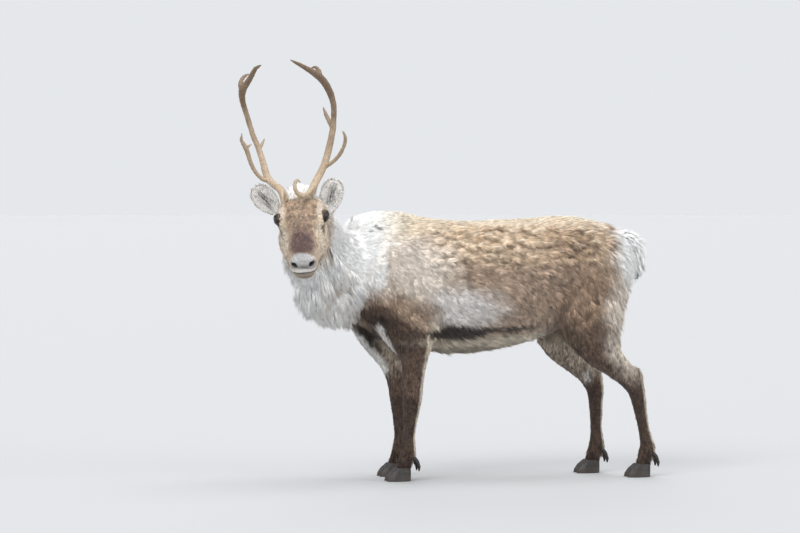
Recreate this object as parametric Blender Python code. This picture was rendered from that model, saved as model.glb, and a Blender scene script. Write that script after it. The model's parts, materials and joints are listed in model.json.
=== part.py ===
"""A reindeer cow at life size, standing, with its head turned to its left.

Metres, +Z up. The animal heads towards -X and its left side faces -Y. The flesh is blended from
tubes and muscles into one skin, which thin cuts part into torso, neck, head and legs. Eyes, ears,
antlers and hooves are pieces of their own.
"""

import math
import random

import bmesh
import bpy
import numpy as np
from mathutils import Matrix, Vector
from mathutils.bvhtree import BVHTree

# Sizes that drive the rest.
WITHERS_HEIGHT = 0.934
GAP = 0.0003
CLEARANCE = 0.0005

# The head: where the poll lies, which way the face points and how long it is.
POLL = Vector((-0.728, -0.200, 1.008))
FACE_HEADING = math.radians(-103.4)
FACE_PITCH = math.radians(38.0)
FACE_ROLL = math.radians(5.0)
HEAD_LENGTH = 0.345

# The mesh that the cuts part.
BODY_VOXEL = 0.008
HEAD_VOXEL = 0.0034
BODY_TRIANGLES = 4400
HEAD_TRIANGLES = 1700

COLOURS = {
    "coat": (0.36, 0.27, 0.20),
    "mane": (0.80, 0.78, 0.74),
    "face": (0.30, 0.21, 0.16),
    "ear": (0.72, 0.71, 0.69),
    "leg": (0.20, 0.14, 0.11),
    "antler": (0.55, 0.40, 0.27),
    "hoof": (0.06, 0.05, 0.045),
    "eye": (0.01, 0.008, 0.007),
}


def material(slot):
    """The plain material of one slot, made once."""
    found = bpy.data.materials.get(slot)
    if found:
        return found
    made = bpy.data.materials.new(slot)
    made.use_nodes = True
    shader = made.node_tree.nodes["Principled BSDF"]
    shader.inputs["Base Color"].default_value = (*COLOURS[slot], 1.0)
    shader.inputs["Roughness"].default_value = 0.08 if slot == "eye" else 0.75
    made.diffuse_color = (*COLOURS[slot], 1.0)
    return made


def add(name, bm, slot="coat"):
    """The bmesh as an object of the scene, with its normals facing out."""
    bmesh.ops.recalc_face_normals(bm, faces=bm.faces)
    mesh = bpy.data.meshes.new(name)
    bm.to_mesh(mesh)
    bm.free()
    mesh.materials.append(material(slot))
    made = bpy.data.objects.new(name, mesh)
    bpy.context.scene.collection.objects.link(made)
    return made


def remove(*objects):
    """Takes helpers out of the scene."""
    for obj in objects:
        bpy.data.objects.remove(obj)


def bake(obj):
    """Replaces the object's mesh by what its modifiers make of it."""
    graph = bpy.context.evaluated_depsgraph_get()
    graph.update()
    mesh = bpy.data.meshes.new_from_object(obj.evaluated_get(graph))
    obj.modifiers.clear()
    obj.data = mesh


def spline(keys, steps):
    """Rows between the keys, on a smooth curve through them, with steps rows to each span."""
    keys = np.array(keys, float)
    ends = np.vstack([2 * keys[0] - keys[1], keys, 2 * keys[-1] - keys[-2]])
    rows = []
    for before, here, after, beyond in zip(ends, ends[1:], ends[2:], ends[3:]):
        for t in np.arange(steps) / steps:
            slope_in = (after - before) / 2
            slope_out = (beyond - here) / 2
            rows.append(
                here * (2 * t**3 - 3 * t**2 + 1)
                + slope_in * (t**3 - 2 * t**2 + t)
                + after * (3 * t**2 - 2 * t**3)
                + slope_out * (t**3 - t**2)
            )
    rows.append(keys[-1])
    return np.array(rows)


def bridge(bm, rings):
    """Joins rings of equal count one after another."""
    for ring, after in zip(rings, rings[1:]):
        for i, corner in enumerate(ring):
            j = (i + 1) % len(ring)
            bm.faces.new((corner, ring[j], after[j], after[i]))


def rows_to_tube(name, rows, side, segments, slot, point=0.6, start=0, stop=None, flat=(False, False)):
    """A closed tube along rows of x, y, z, half width across and half width along the other way.

    side is the direction of the first half width. point is how far each end's pole stands out, in
    radii. start and stop pick a run of the rows, and flat says which ends are cut square.
    """
    rows = np.array(rows)
    centres = rows[:, :3]
    tangents = np.gradient(centres, axis=0)
    stop = len(rows) if stop is None else stop
    bm = bmesh.new()
    rings = []
    for centre, along, (across, deep) in zip(
        centres[start:stop], tangents[start:stop], rows[start:stop, 3:5]
    ):
        along = Vector(along).normalized()
        first = (Vector(side) - Vector(side).dot(along) * along).normalized()
        second = along.cross(first)
        frame = Matrix((first * across, second * deep, along)).transposed().to_4x4()
        frame.translation = Vector(centre)
        ring = bmesh.ops.create_circle(bm, segments=segments, radius=1.0, matrix=frame)
        rings.append(ring["verts"])
    bridge(bm, rings)
    for ring, row, along, sign, square in (
        (rings[0], rows[start], tangents[start], -1, flat[0]),
        (rings[-1], rows[stop - 1], tangents[stop - 1], 1, flat[1]),
    ):
        reach = 0.0 if square else point * min(row[3], row[4])
        pole = bm.verts.new(Vector(row[:3]) + Vector(along).normalized() * float(sign * reach))
        for i, corner in enumerate(ring):
            bm.faces.new((corner, ring[(i + 1) % len(ring)], pole))
    return add(name, bm, slot)


def tube(name, keys, side=(0, 1, 0), segments=20, steps=4, slot="coat", point=0.6):
    """A closed tube on a smooth curve through its keys."""
    return rows_to_tube(name, spline(keys, steps), side, segments, slot, point)


def ball(name, centre, radii, slot="coat", turn=None, detail=3):
    """An ellipsoid."""
    bm = bmesh.new()
    bmesh.ops.create_icosphere(bm, subdivisions=detail, radius=1.0)
    frame = (turn or Matrix.Identity(3)).to_4x4() @ Matrix.Diagonal((*radii, 1.0))
    frame.translation = Vector(centre)
    bmesh.ops.transform(bm, matrix=frame, verts=bm.verts)
    return add(name, bm, slot)


def block(name, low, high, turn=None, centre=(0, 0, 0)):
    """A box between two corners, which a rotation may turn about a centre."""
    low, high = Vector(low), Vector(high)
    bm = bmesh.new()
    bmesh.ops.create_cube(bm, size=1.0)
    bmesh.ops.scale(bm, vec=high - low, verts=bm.verts)
    bmesh.ops.translate(bm, vec=(low + high) / 2, verts=bm.verts)
    if turn:
        bmesh.ops.rotate(bm, cent=Vector((0, 0, 0)), matrix=turn, verts=bm.verts)
    bmesh.ops.translate(bm, vec=Vector(centre), verts=bm.verts)
    made = add(name, bm)
    made.hide_render = True
    made.display_type = "WIRE"
    return made


def half_space(name, point, normal, reach=3.0):
    """A box that fills the side of a plane that its normal points to."""
    turn = Vector(normal).to_track_quat("Z", "Y").to_matrix()
    return block(name, (-reach, -reach, 0), (reach, reach, reach), turn, point)


def boolean(target, cutter, operation, solver="EXACT"):
    """Applies one Boolean to the target, and keeps its largest closed surface."""
    step = target.modifiers.new("join", "BOOLEAN")
    step.operation = operation
    step.solver = solver
    if isinstance(cutter, bpy.types.Collection):
        step.operand_type = "COLLECTION"
        step.collection = cutter
    else:
        step.object = cutter
    bake(target)
    keep_largest(target)


def keep_largest(obj):
    """Drops every closed surface but the one of the largest volume."""
    bm = bmesh.new()
    bm.from_mesh(obj.data)
    bm.faces.ensure_lookup_table()
    seen, best, best_volume = set(), [], -1.0
    for seed in bm.faces:
        if seed.index in seen:
            continue
        island, queue = [], [seed]
        seen.add(seed.index)
        while queue:
            face = queue.pop()
            island.append(face)
            for edge in face.edges:
                for other in edge.link_faces:
                    if other.index not in seen:
                        seen.add(other.index)
                        queue.append(other)
        volume = 0.0
        for face in island:
            corners = [loop.vert.co for loop in face.loops]
            for i in range(1, len(corners) - 1):
                volume += corners[0].dot(corners[i].cross(corners[i + 1])) / 6
        if volume > best_volume:
            best, best_volume = island, volume
    loose = set(bm.faces) - set(best)
    bmesh.ops.delete(bm, geom=list(loose), context="FACES")
    bmesh.ops.triangulate(bm, faces=bm.faces)
    bm.to_mesh(obj.data)
    bm.free()


def copy_of(obj, name):
    """A copy of an object with a mesh of its own."""
    made = bpy.data.objects.new(name, obj.data.copy())
    bpy.context.scene.collection.objects.link(made)
    return made


def surface_of(obj):
    """A tree to find points of an object's surface with."""
    mesh = obj.data
    corners = [vert.co.copy() for vert in mesh.vertices]
    return BVHTree.FromPolygons(corners, [tuple(face.vertices) for face in mesh.polygons])


def grown(obj, by=CLEARANCE):
    """A hidden copy of an object whose surface stands out by a little, which cuts room for it."""
    made = copy_of(obj, obj.name + "_room")
    bm = bmesh.new()
    bm.from_mesh(made.data)
    bm.normal_update()
    shifts = [(vert, vert.normal * by) for vert in bm.verts]
    for vert, shift in shifts:
        vert.co += shift
    bm.to_mesh(made.data)
    bm.free()
    made.hide_render = True
    return made


def clear_of(obj, *neighbours):
    """Cuts the object back so that it keeps its gap to each neighbour."""
    for neighbour in neighbours:
        room = grown(neighbour)
        boolean(obj, room, "DIFFERENCE")
        remove(room)


def blended(name, pieces, voxel, rounds, triangles, slot="coat"):
    """One skin over pieces that overlap, smoothed where they meet, at a given number of triangles."""
    bm = bmesh.new()
    for piece in pieces:
        bm.from_mesh(piece.data)
    remove(*pieces)
    made = add(name, bm, slot)
    remesh = made.modifiers.new("skin", "REMESH")
    remesh.mode = "VOXEL"
    remesh.voxel_size = voxel
    smooth = made.modifiers.new("soften", "SMOOTH")
    smooth.factor = 0.5
    smooth.iterations = rounds
    bake(made)
    count = sum(len(face.vertices) - 2 for face in made.data.polygons)
    thin = made.modifiers.new("thin", "DECIMATE")
    thin.ratio = triangles / count
    bake(made)
    return made


# The torso, from breast to rump: x, top, bottom, half width, and how far it is widest below centre.
TORSO_SECTIONS = [
    (-0.525, 0.745, 0.600, 0.040, 0.0),
    (-0.490, 0.815, 0.545, 0.085, 0.0),
    (-0.430, 0.908, 0.497, 0.122, 0.05),
    (-0.350, WITHERS_HEIGHT - 0.004, 0.462, 0.146, 0.12),
    (-0.240, 0.910, 0.437, 0.166, 0.16),
    (-0.120, 0.898, 0.430, 0.186, 0.12),
    (0.020, 0.901, 0.447, 0.194, 0.08),
    (0.150, 0.909, 0.480, 0.184, 0.05),
    (0.260, 0.913, 0.535, 0.168, 0.0),
    (0.350, 0.898, 0.585, 0.150, 0.0),
    (0.425, 0.862, 0.625, 0.120, 0.0),
    (0.470, 0.815, 0.670, 0.080, 0.0),
    (0.490, 0.775, 0.715, 0.035, 0.0),
]


def torso():
    """The trunk as one loft along X."""
    bm = bmesh.new()
    rings = []
    segments = 28
    for x, top, bottom, half, low in spline(TORSO_SECTIONS, 3):
        ring = bmesh.ops.create_circle(bm, segments=segments, radius=1.0)["verts"]
        for vert in ring:
            across, up = vert.co.x, vert.co.y
            fuller = math.copysign(abs(across) ** 0.88, across)
            vert.co = (
                x,
                half * fuller * (1 - low * up),
                (top + bottom) / 2 + (top - bottom) / 2 * math.copysign(abs(up) ** 0.94, up),
            )
        rings.append(ring)
    bridge(bm, rings)
    for ring in (rings[0], rings[-1]):
        bm.faces.new(ring)
    return add("trunk", bm)


def muscles():
    """The masses of shoulder and haunch on each side."""
    made = []
    for side in (-1, 1):
        made.append(ball("shoulder", (-0.335, side * 0.098, 0.685), (0.105, 0.056, 0.170)))
        made.append(ball("haunch", (0.330, side * 0.090, 0.700), (0.135, 0.075, 0.165)))
        made.append(ball("hip", (0.255, side * 0.088, 0.842), (0.075, 0.045, 0.040)))
    return made


# The neck, from between the shoulders to the back of the head: centre, half width, half depth.
NECK_KEYS = [
    (-0.330, 0.000, 0.740, 0.110, 0.165),
    (-0.440, -0.004, 0.752, 0.104, 0.163),
    (-0.540, -0.025, 0.750, 0.095, 0.131),
    (-0.622, -0.075, 0.795, 0.083, 0.112),
    (-0.676, -0.140, 0.860, 0.076, 0.100),
    (-0.712, -0.205, 0.915, 0.068, 0.088),
    (-0.728, -0.262, 0.925, 0.050, 0.066),
]


def neck_tube():
    """The neck's flesh."""
    return tube("neck_tube", NECK_KEYS, side=(0.25, 1.0, 0.0), segments=24, steps=5)


# The mane under throat and chest: centre and radii of its masses, out to the tips of the wool.
MANE_MASSES = [
    ((-0.700, -0.195, 0.775), (0.058, 0.065, 0.075)),
    ((-0.668, -0.125, 0.700), (0.083, 0.088, 0.125)),
    ((-0.602, -0.060, 0.650), (0.100, 0.088, 0.112)),
    ((-0.525, -0.010, 0.622), (0.072, 0.092, 0.092)),
]
MANE_CORE = 0.66

# The mane's locks. They grow in rows across the line from jaw to breastbone, and hang.
MANE_LINE = [
    (-0.716, -0.205, 0.840),
    (-0.705, -0.185, 0.790),
    (-0.668, -0.125, 0.720),
    (-0.602, -0.060, 0.680),
    (-0.520, -0.010, 0.655),
]
MANE_ROWS = 9
LOCKS_IN_ROW = 10
LOCK_SPREAD = math.radians(98.0)
LOCK_LENGTH = 0.098
LOCK_AT_BREAST = 0.72
LOCK_WIDTH = 0.038
LOCK_THICKNESS = 0.011
LOCK_ROOT = 0.012


def mane_masses(share):
    """The masses that the mane hangs from, at a share of its reach."""
    return [
        ball("mane_mass", centre, [radius * share for radius in radii])
        for centre, radii in MANE_MASSES
    ]


def lock(name, root, normal, way, length, width):
    """A flat, tapered lock: it leaves the skin along its normal and bends over to hang its way."""
    start = root - normal * LOCK_ROOT
    bend = root + (normal * 0.55 + way * 0.45) * length * 0.45
    tip = root + way * length
    across = way.cross(normal).normalized()
    bm = bmesh.new()
    rings = []
    for t, wide, thick in ((0.0, 0.8, 1.0), (0.42, 1.0, 0.8), (0.76, 0.68, 0.5)):
        centre = start * (1 - t) ** 2 + bend * 2 * t * (1 - t) + tip * t**2
        along = ((bend - start) * (1 - t) + (tip - bend) * t).normalized()
        out = across.cross(along).normalized()
        half, lift = width * wide / 2, LOCK_THICKNESS * thick / 2
        corners = (across * half, out * lift, -across * half, -out * lift)
        rings.append([bm.verts.new(centre + corner) for corner in corners])
    bridge(bm, rings)
    bm.faces.new(rings[0])
    end = bm.verts.new(tip)
    for i in range(4):
        bm.faces.new((rings[-1][i], rings[-1][(i + 1) % 4], end))
    return add(name, bm, "mane")


def fuse(target, pieces):
    """Joins many closed pieces to the target in one union."""
    group = bpy.data.collections.new("pieces")
    bpy.context.scene.collection.children.link(group)
    for piece in pieces:
        group.objects.link(piece)
    boolean(target, group, "UNION")
    remove(*pieces)
    bpy.data.collections.remove(group)


def mane_locks(neck):
    """Rows of locks round the throat and breast, each a little unlike its neighbours."""
    draw = random.Random(11)
    surface = surface_of(neck)
    down = Vector((0, 0, -1))
    line = spline(MANE_LINE, 8)
    locks = []
    for row in range(MANE_ROWS):
        at = (len(line) - 1) * (row + 0.3) / (MANE_ROWS - 0.4)
        here, after = line[int(at)], line[min(int(at) + 1, len(line) - 1)]
        centre = Vector(here + (after - here) * (at - int(at)))
        along = Vector(after - line[max(int(at) - 1, 0)]).normalized()
        low = (down - down.dot(along) * along).normalized()
        for column in range(LOCKS_IN_ROW):
            share = (column + 0.5 * (row % 2) + draw.uniform(-0.2, 0.2)) / (LOCKS_IN_ROW - 0.5)
            turn = Matrix.Rotation((2 * share - 1) * LOCK_SPREAD, 3, along)
            ray = turn @ low
            hit, normal = surface.ray_cast(centre + ray * 0.4, -ray)[:2]
            if hit is None:
                continue
            side = abs(2 * share - 1)
            breast = row / (MANE_ROWS - 1)
            way = down * (0.80 - 0.25 * breast + 0.2 * side) + normal * (0.36 - 0.12 * breast)
            way = way + along * (0.12 + 0.40 * breast)
            way = (way.normalized() + Vector([draw.uniform(-0.09, 0.09) for _ in range(3)])).normalized()
            length = LOCK_LENGTH * (1 - (1 - LOCK_AT_BREAST) * breast) * (1.0 - 0.22 * side)
            length *= draw.uniform(0.86, 1.10)
            width = LOCK_WIDTH * draw.uniform(0.85, 1.15)
            locks.append(lock("lock", hit, normal, way, length, width))
    return locks


# Each leg from the trunk down: x, y outwards, z, half width across, half width fore and aft.
FORELEG_LEFT = [
    (-0.375, 0.080, 0.660, 0.055, 0.100),
    (-0.345, 0.100, 0.550, 0.058, 0.098),
    (-0.318, 0.110, 0.475, 0.052, 0.080),
    (-0.312, 0.112, 0.415, 0.042, 0.052),
    (-0.314, 0.110, 0.345, 0.035, 0.042),
    (-0.317, 0.108, 0.280, 0.034, 0.038),
    (-0.322, 0.107, 0.225, 0.027, 0.031),
    (-0.327, 0.106, 0.155, 0.022, 0.0245),
    (-0.330, 0.106, 0.098, 0.028, 0.031),
    (-0.344, 0.106, 0.060, 0.026, 0.027),
    (-0.352, 0.106, 0.034, 0.026, 0.026),
]
FORELEG_RIGHT = [
    (-0.400, 0.080, 0.660, 0.055, 0.100),
    (-0.402, 0.098, 0.560, 0.058, 0.100),
    (-0.374, 0.108, 0.480, 0.052, 0.082),
    (-0.347, 0.110, 0.410, 0.042, 0.053),
    (-0.326, 0.108, 0.345, 0.035, 0.043),
    (-0.317, 0.107, 0.280, 0.034, 0.039),
    (-0.317, 0.106, 0.225, 0.027, 0.031),
    (-0.315, 0.106, 0.155, 0.022, 0.0245),
    (-0.313, 0.106, 0.098, 0.028, 0.031),
    (-0.327, 0.106, 0.060, 0.026, 0.027),
    (-0.335, 0.106, 0.034, 0.026, 0.026),
]
HINDLEG_LEFT = [
    (0.320, 0.075, 0.760, 0.070, 0.120),
    (0.312, 0.092, 0.640, 0.070, 0.132),
    (0.322, 0.104, 0.530, 0.062, 0.112),
    (0.352, 0.107, 0.455, 0.050, 0.080),
    (0.402, 0.106, 0.398, 0.040, 0.054),
    (0.452, 0.105, 0.352, 0.033, 0.042),
    (0.482, 0.104, 0.308, 0.031, 0.036),
    (0.495, 0.104, 0.255, 0.026, 0.029),
    (0.506, 0.104, 0.195, 0.0225, 0.025),
    (0.517, 0.104, 0.145, 0.0225, 0.025),
    (0.525, 0.104, 0.100, 0.028, 0.032),
    (0.512, 0.104, 0.060, 0.026, 0.027),
    (0.504, 0.104, 0.034, 0.026, 0.026),
]
HINDLEG_RIGHT = [
    (0.310, 0.075, 0.760, 0.070, 0.120),
    (0.282, 0.092, 0.640, 0.070, 0.128),
    (0.258, 0.104, 0.535, 0.062, 0.106),
    (0.274, 0.107, 0.460, 0.050, 0.080),
    (0.318, 0.106, 0.400, 0.040, 0.055),
    (0.362, 0.105, 0.352, 0.033, 0.043),
    (0.388, 0.104, 0.305, 0.031, 0.037),
    (0.392, 0.104, 0.255, 0.026, 0.030),
    (0.393, 0.104, 0.195, 0.0225, 0.026),
    (0.394, 0.104, 0.145, 0.0225, 0.025),
    (0.396, 0.104, 0.100, 0.028, 0.032),
    (0.383, 0.104, 0.060, 0.026, 0.027),
    (0.375, 0.104, 0.034, 0.026, 0.026),
]
LEGS = {
    "foreleg_left": (FORELEG_LEFT, -1),
    "foreleg_right": (FORELEG_RIGHT, 1),
    "hindleg_left": (HINDLEG_LEFT, -1),
    "hindleg_right": (HINDLEG_RIGHT, 1),
}
# The tip of the hock: how far behind and above the hock's own key it stands.
HOCK_KEY = 6
HOCK_BEHIND = 0.012
HOCK_ABOVE = 0.050


def leg(name):
    """One leg's flesh, with the tip of the heel bone on a hind leg."""
    keys, side = LEGS[name]
    rows = [(x, side * y, z, across, deep) for x, y, z, across, deep in keys]
    made = [tube(name, rows, segments=18, steps=4)]
    if name.startswith("hind"):
        x, y, z = rows[HOCK_KEY][:3]
        heel = (x + HOCK_BEHIND, y, z + HOCK_ABOVE)
        made.append(ball("heel", heel, (0.019, 0.019, 0.040), turn=Matrix.Rotation(-0.35, 3, "Y")))
    return made


def head_frame():
    """The head's own frame: X forward along the face, Y to the animal's left, Z out of the forehead."""
    heading = Vector((math.cos(FACE_HEADING), math.sin(FACE_HEADING), 0))
    up = Vector((0, 0, 1))
    forward = math.cos(FACE_PITCH) * heading - math.sin(FACE_PITCH) * up
    dorsal = math.sin(FACE_PITCH) * heading + math.cos(FACE_PITCH) * up
    left = dorsal.cross(forward)
    roll = Matrix.Rotation(FACE_ROLL, 3, heading)
    frame = (roll @ Matrix((forward, left, dorsal)).transposed()).to_4x4()
    frame.translation = POLL
    return frame


HEAD = head_frame()

# The head from neck to nose: distance from the poll, top, bottom, half width, fullness below.
HEAD_SECTIONS = [
    (-0.060, -0.060, -0.130, 0.040, 0.0),
    (-0.030, -0.030, -0.165, 0.062, 0.0),
    (0.010, -0.007, -0.186, 0.074, 0.04),
    (0.055, 0.005, -0.192, 0.079, 0.06),
    (0.095, 0.006, -0.188, 0.081, 0.06),
    (0.135, 0.002, -0.178, 0.080, 0.10),
    (0.175, -0.004, -0.164, 0.079, 0.16),
    (0.215, -0.009, -0.152, 0.0715, 0.18),
    (0.255, -0.012, -0.141, 0.0610, 0.14),
    (0.290, -0.014, -0.134, 0.0510, 0.02),
    (0.318, -0.018, -0.125, 0.0450, -0.06),
    (0.336, -0.027, -0.108, 0.0400, -0.08),
    (HEAD_LENGTH, -0.044, -0.086, 0.026, -0.08),
]
EYE = Vector((0.112, 0.0715, -0.031))
EYE_RADIUS = 0.0205
LID_RADIUS = EYE_RADIUS + 0.0036
NOSTRIL = Vector((0.337, 0.0265, -0.046))
MOUTH_CENTRE = Vector((0.283, 0.0, -0.084))
MOUTH_TURN = math.radians(118.0)
MOUTH_DROP = 0.006
MOUTH_POINTS = 13
MOUTH_GROOVE = 0.0024


def head_point(along, across, up):
    """A point of the head's own frame in the part's frame."""
    return HEAD @ Vector((float(along), float(across), float(up)))


def head_ball(name, centre, radii, slot="face"):
    """An ellipsoid in the head's own frame, on each side where it lies off the middle."""
    centre = Vector(centre)
    sides = (1, -1) if abs(centre.y) > 1e-6 else (1,)
    turn = HEAD.to_3x3()
    return [
        ball(name, head_point(centre.x, side * centre.y, centre.z), radii, slot, turn)
        for side in sides
    ]


def head_flesh():
    """The head as one loft with its brows, cheeks, nostril wings, lips and chin."""
    bm = bmesh.new()
    rings = []
    for along, top, bottom, half, low in spline(HEAD_SECTIONS, 4):
        ring = bmesh.ops.create_circle(bm, segments=28, radius=1.0)["verts"]
        for vert in ring:
            across, up = vert.co.x, vert.co.y
            fuller = math.copysign(abs(across) ** 0.86, across)
            vert.co = head_point(
                along,
                half * fuller * (1 - low * up),
                (top + bottom) / 2 + (top - bottom) / 2 * math.copysign(abs(up) ** 0.92, up),
            )
        rings.append(ring)
    bridge(bm, rings)
    for ring in (rings[0], rings[-1]):
        bm.faces.new(ring)
    pieces = [add("head_loft", bm, "face")]
    pieces += head_ball("brow", (0.086, 0.053, -0.016), (0.038, 0.029, 0.019))
    pieces += head_ball("orbit", (0.104, 0.058, -0.038), (0.054, 0.031, 0.036))
    pieces += head_ball("lids", EYE, [LID_RADIUS] * 3)
    pieces += head_ball("cheek", (0.110, 0.052, -0.120), (0.085, 0.036, 0.056))
    pieces += head_ball("crown", (0.002, 0.0, -0.019), (0.044, 0.060, 0.023))
    pieces += head_ball("ear_root", (0.024, 0.060, -0.078), (0.030, 0.026, 0.030))
    pieces += head_ball("nostril_wing", (0.327, 0.027, -0.046), (0.018, 0.020, 0.019))
    pieces += head_ball("upper_lip", (0.312, 0.021, -0.068), (0.028, 0.027, 0.015))
    pieces += head_ball("lower_lip", (0.308, 0.0, -0.106), (0.032, 0.036, 0.020))
    pieces += head_ball("chin", (0.278, 0.0, -0.122), (0.040, 0.034, 0.020))
    return pieces


def eye_sockets(head):
    """Opens the lids round each eye in an almond, and makes the ball that fills the opening."""
    eyes = []
    turn = HEAD.to_3x3()
    for side, word in ((1, "left"), (-1, "right")):
        centre = head_point(EYE.x, side * EYE.y, EYE.z)
        outward = (turn @ Vector((0.68, side * 0.72, 0.12))).normalized()
        along = (turn @ Vector((0.70, -side * 0.66, -0.28))).normalized()
        up = outward.cross(along).normalized()
        almond_turn = Matrix((along, up, outward)).transposed()
        almond = ball("almond", centre + outward * 0.023, (0.0225, 0.0150, 0.018), turn=almond_turn)
        boolean(head, almond, "DIFFERENCE")
        remove(almond)
        eyes.append(ball("eye_" + word, centre, [EYE_RADIUS] * 3, "eye", detail=2))
    return eyes


def mouth_line(head):
    """The groove between the lips, from one corner round the front to the other."""
    surface = surface_of(head)
    keys = []
    for i in range(MOUTH_POINTS):
        share = 2 * i / (MOUTH_POINTS - 1) - 1
        turn = share * MOUTH_TURN
        outward = HEAD.to_3x3() @ Vector((math.cos(turn), math.sin(turn), 0))
        low = MOUTH_CENTRE - Vector((0, 0, MOUTH_DROP * share * share))
        hit = surface.ray_cast(head_point(*low) + outward * 0.2, -outward)[0]
        keys.append((*hit, MOUTH_GROOVE, MOUTH_GROOVE * 0.8))
    side = tuple(HEAD.to_3x3() @ Vector((0, 0, 1)))
    groove = tube("groove", keys, side=side, segments=6, steps=1)
    boolean(head, groove, "DIFFERENCE")
    remove(groove)


def nostrils(head):
    """The two comma-shaped openings of the nose."""
    for side in (1, -1):
        turn = HEAD.to_3x3() @ Matrix.Rotation(side * -0.75, 3, "X") @ Matrix.Rotation(0.3, 3, "Y")
        centre = head_point(NOSTRIL.x + 0.006, side * NOSTRIL.y, NOSTRIL.z)
        pit = ball("pit", centre, (0.014, 0.0048, 0.0092), turn=turn, detail=2)
        boolean(head, pit, "DIFFERENCE")
        remove(pit)


# Each ear: where its root lies on the head, and which way it points.
EAR_LENGTH = 0.129
EAR_HALF_WIDTH = 0.041
EAR_THICKNESS = 0.006
EAR_CUP = 0.016
EAR_NOTCH = 0.012
EAR_OUTLINE = [(0.0, 0.42), (0.18, 0.66), (0.40, 0.93), (0.62, 1.0), (0.82, 0.86), (0.94, 0.58), (1.0, 0.26)]
EARS = {
    "ear_left": (Vector((0.032, 0.083, -0.094)), Vector((0.25, 0.12, 0.96))),
    "ear_right": (Vector((0.028, -0.077, -0.075)), Vector((-0.66, 0.26, 0.70))),
}
EAR_FACES = Vector((-0.20, -0.97, 0.10))


def ear(name):
    """A paddle-shaped cup, rolled at its root and open towards the front. The left one is nicked."""
    root, points = EARS[name]
    root = HEAD @ root
    long_way = points.normalized()
    facing = (EAR_FACES - EAR_FACES.dot(long_way) * long_way).normalized()
    across = long_way.cross(facing)
    columns = 7
    outline = spline(EAR_OUTLINE, 2)[1:]
    bm = bmesh.new()
    front, back = [], []
    for share, width in outline:
        for grid, lift in ((front, 0.5), (back, -0.5)):
            row = []
            for j in range(columns):
                w = 2 * j / (columns - 1) - 1
                cup = EAR_CUP * (w * w - 0.4) * (1.5 - share)
                thick = lift * EAR_THICKNESS * (1.15 - 0.5 * share) * (1 - 0.45 * abs(w))
                at = EAR_LENGTH * share
                if name == "ear_left" and share > 0.97:
                    at -= EAR_NOTCH * max(0.0, 1 - 3 * abs(w - 0.35))
                spread = w * width * EAR_HALF_WIDTH
                row.append(
                    bm.verts.new(
                        root + long_way * float(at) + across * float(spread) + facing * float(cup + thick)
                    )
                )
            grid.append(row)
    for i in range(len(outline) - 1):
        for j in range(columns - 1):
            for corners in (((i, j), (i, j + 1), (i + 1, j + 1)), ((i, j), (i + 1, j + 1), (i + 1, j))):
                bm.faces.new([front[a][b] for a, b in corners])
                bm.faces.new([back[a][b] for a, b in reversed(corners)])
    last = len(outline) - 1
    rim = [(0, j) for j in range(columns)]
    rim += [(i, columns - 1) for i in range(1, last + 1)]
    rim += [(last, j) for j in range(columns - 2, -1, -1)]
    rim += [(i, 0) for i in range(last - 1, 0, -1)]
    for (a, b), (c, d) in zip(rim, rim[1:] + rim[:1]):
        bm.faces.new((front[a][b], back[a][b], back[c][d]))
        bm.faces.new((front[a][b], back[c][d], front[c][d]))
    return add(name, bm, "ear")


# Antlers. Their points count from a place by the poll: to the animal's left, up, and back from the face.
ANTLER_ORIGIN = Vector((-0.733, -0.200, 1.008))
CAMERA_SIDE = math.radians(-12.0)
ANTLER_LEFT = Vector((math.cos(CAMERA_SIDE), math.sin(CAMERA_SIDE), 0))
ANTLER_BACK = Vector((-math.sin(CAMERA_SIDE), math.cos(CAMERA_SIDE), 0))
BEAM_LEFT = [
    (0.034, -0.066, -0.012, 0.0150, 0.0150),
    (0.046, 0.000, -0.002, 0.0135, 0.0135),
    (0.070, 0.049, 0.045, 0.0125, 0.0120),
    (0.087, 0.087, 0.090, 0.0120, 0.0120),
    (0.102, 0.142, 0.130, 0.0112, 0.0125),
    (0.113, 0.197, 0.150, 0.0105, 0.0125),
    (0.118, 0.248, 0.150, 0.0095, 0.0115),
    (0.117, 0.293, 0.130, 0.0095, 0.0115),
    (0.105, 0.334, 0.100, 0.0115, 0.0120),
    (0.085, 0.370, 0.060, 0.0125, 0.0115),
    (0.061, 0.393, 0.020, 0.0130, 0.0110),
    (0.033, 0.410, -0.020, 0.0085, 0.0085),
    (0.003, 0.427, -0.055, 0.0060, 0.0060),
    (-0.027, 0.442, -0.085, 0.0018, 0.0018),
]
BEAM_RIGHT = [
    (-0.036, -0.076, -0.012, 0.0150, 0.0150),
    (-0.056, -0.006, -0.004, 0.0135, 0.0135),
    (-0.083, 0.016, 0.020, 0.0120, 0.0120),
    (-0.109, 0.044, 0.060, 0.0122, 0.0120),
    (-0.123, 0.089, 0.105, 0.0108, 0.0118),
    (-0.142, 0.144, 0.138, 0.0090, 0.0118),
    (-0.158, 0.179, 0.152, 0.0086, 0.0115),
    (-0.170, 0.216, 0.158, 0.0086, 0.0112),
    (-0.181, 0.252, 0.155, 0.0086, 0.0112),
    (-0.192, 0.289, 0.140, 0.0092, 0.0115),
    (-0.197, 0.319, 0.120, 0.0105, 0.0120),
    (-0.191, 0.347, 0.092, 0.0130, 0.0120),
    (-0.175, 0.367, 0.065, 0.0100, 0.0100),
    (-0.159, 0.392, 0.032, 0.0085, 0.0085),
    (-0.146, 0.413, 0.002, 0.0065, 0.0065),
    (-0.125, 0.425, -0.030, 0.0018, 0.0018),
]
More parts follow.
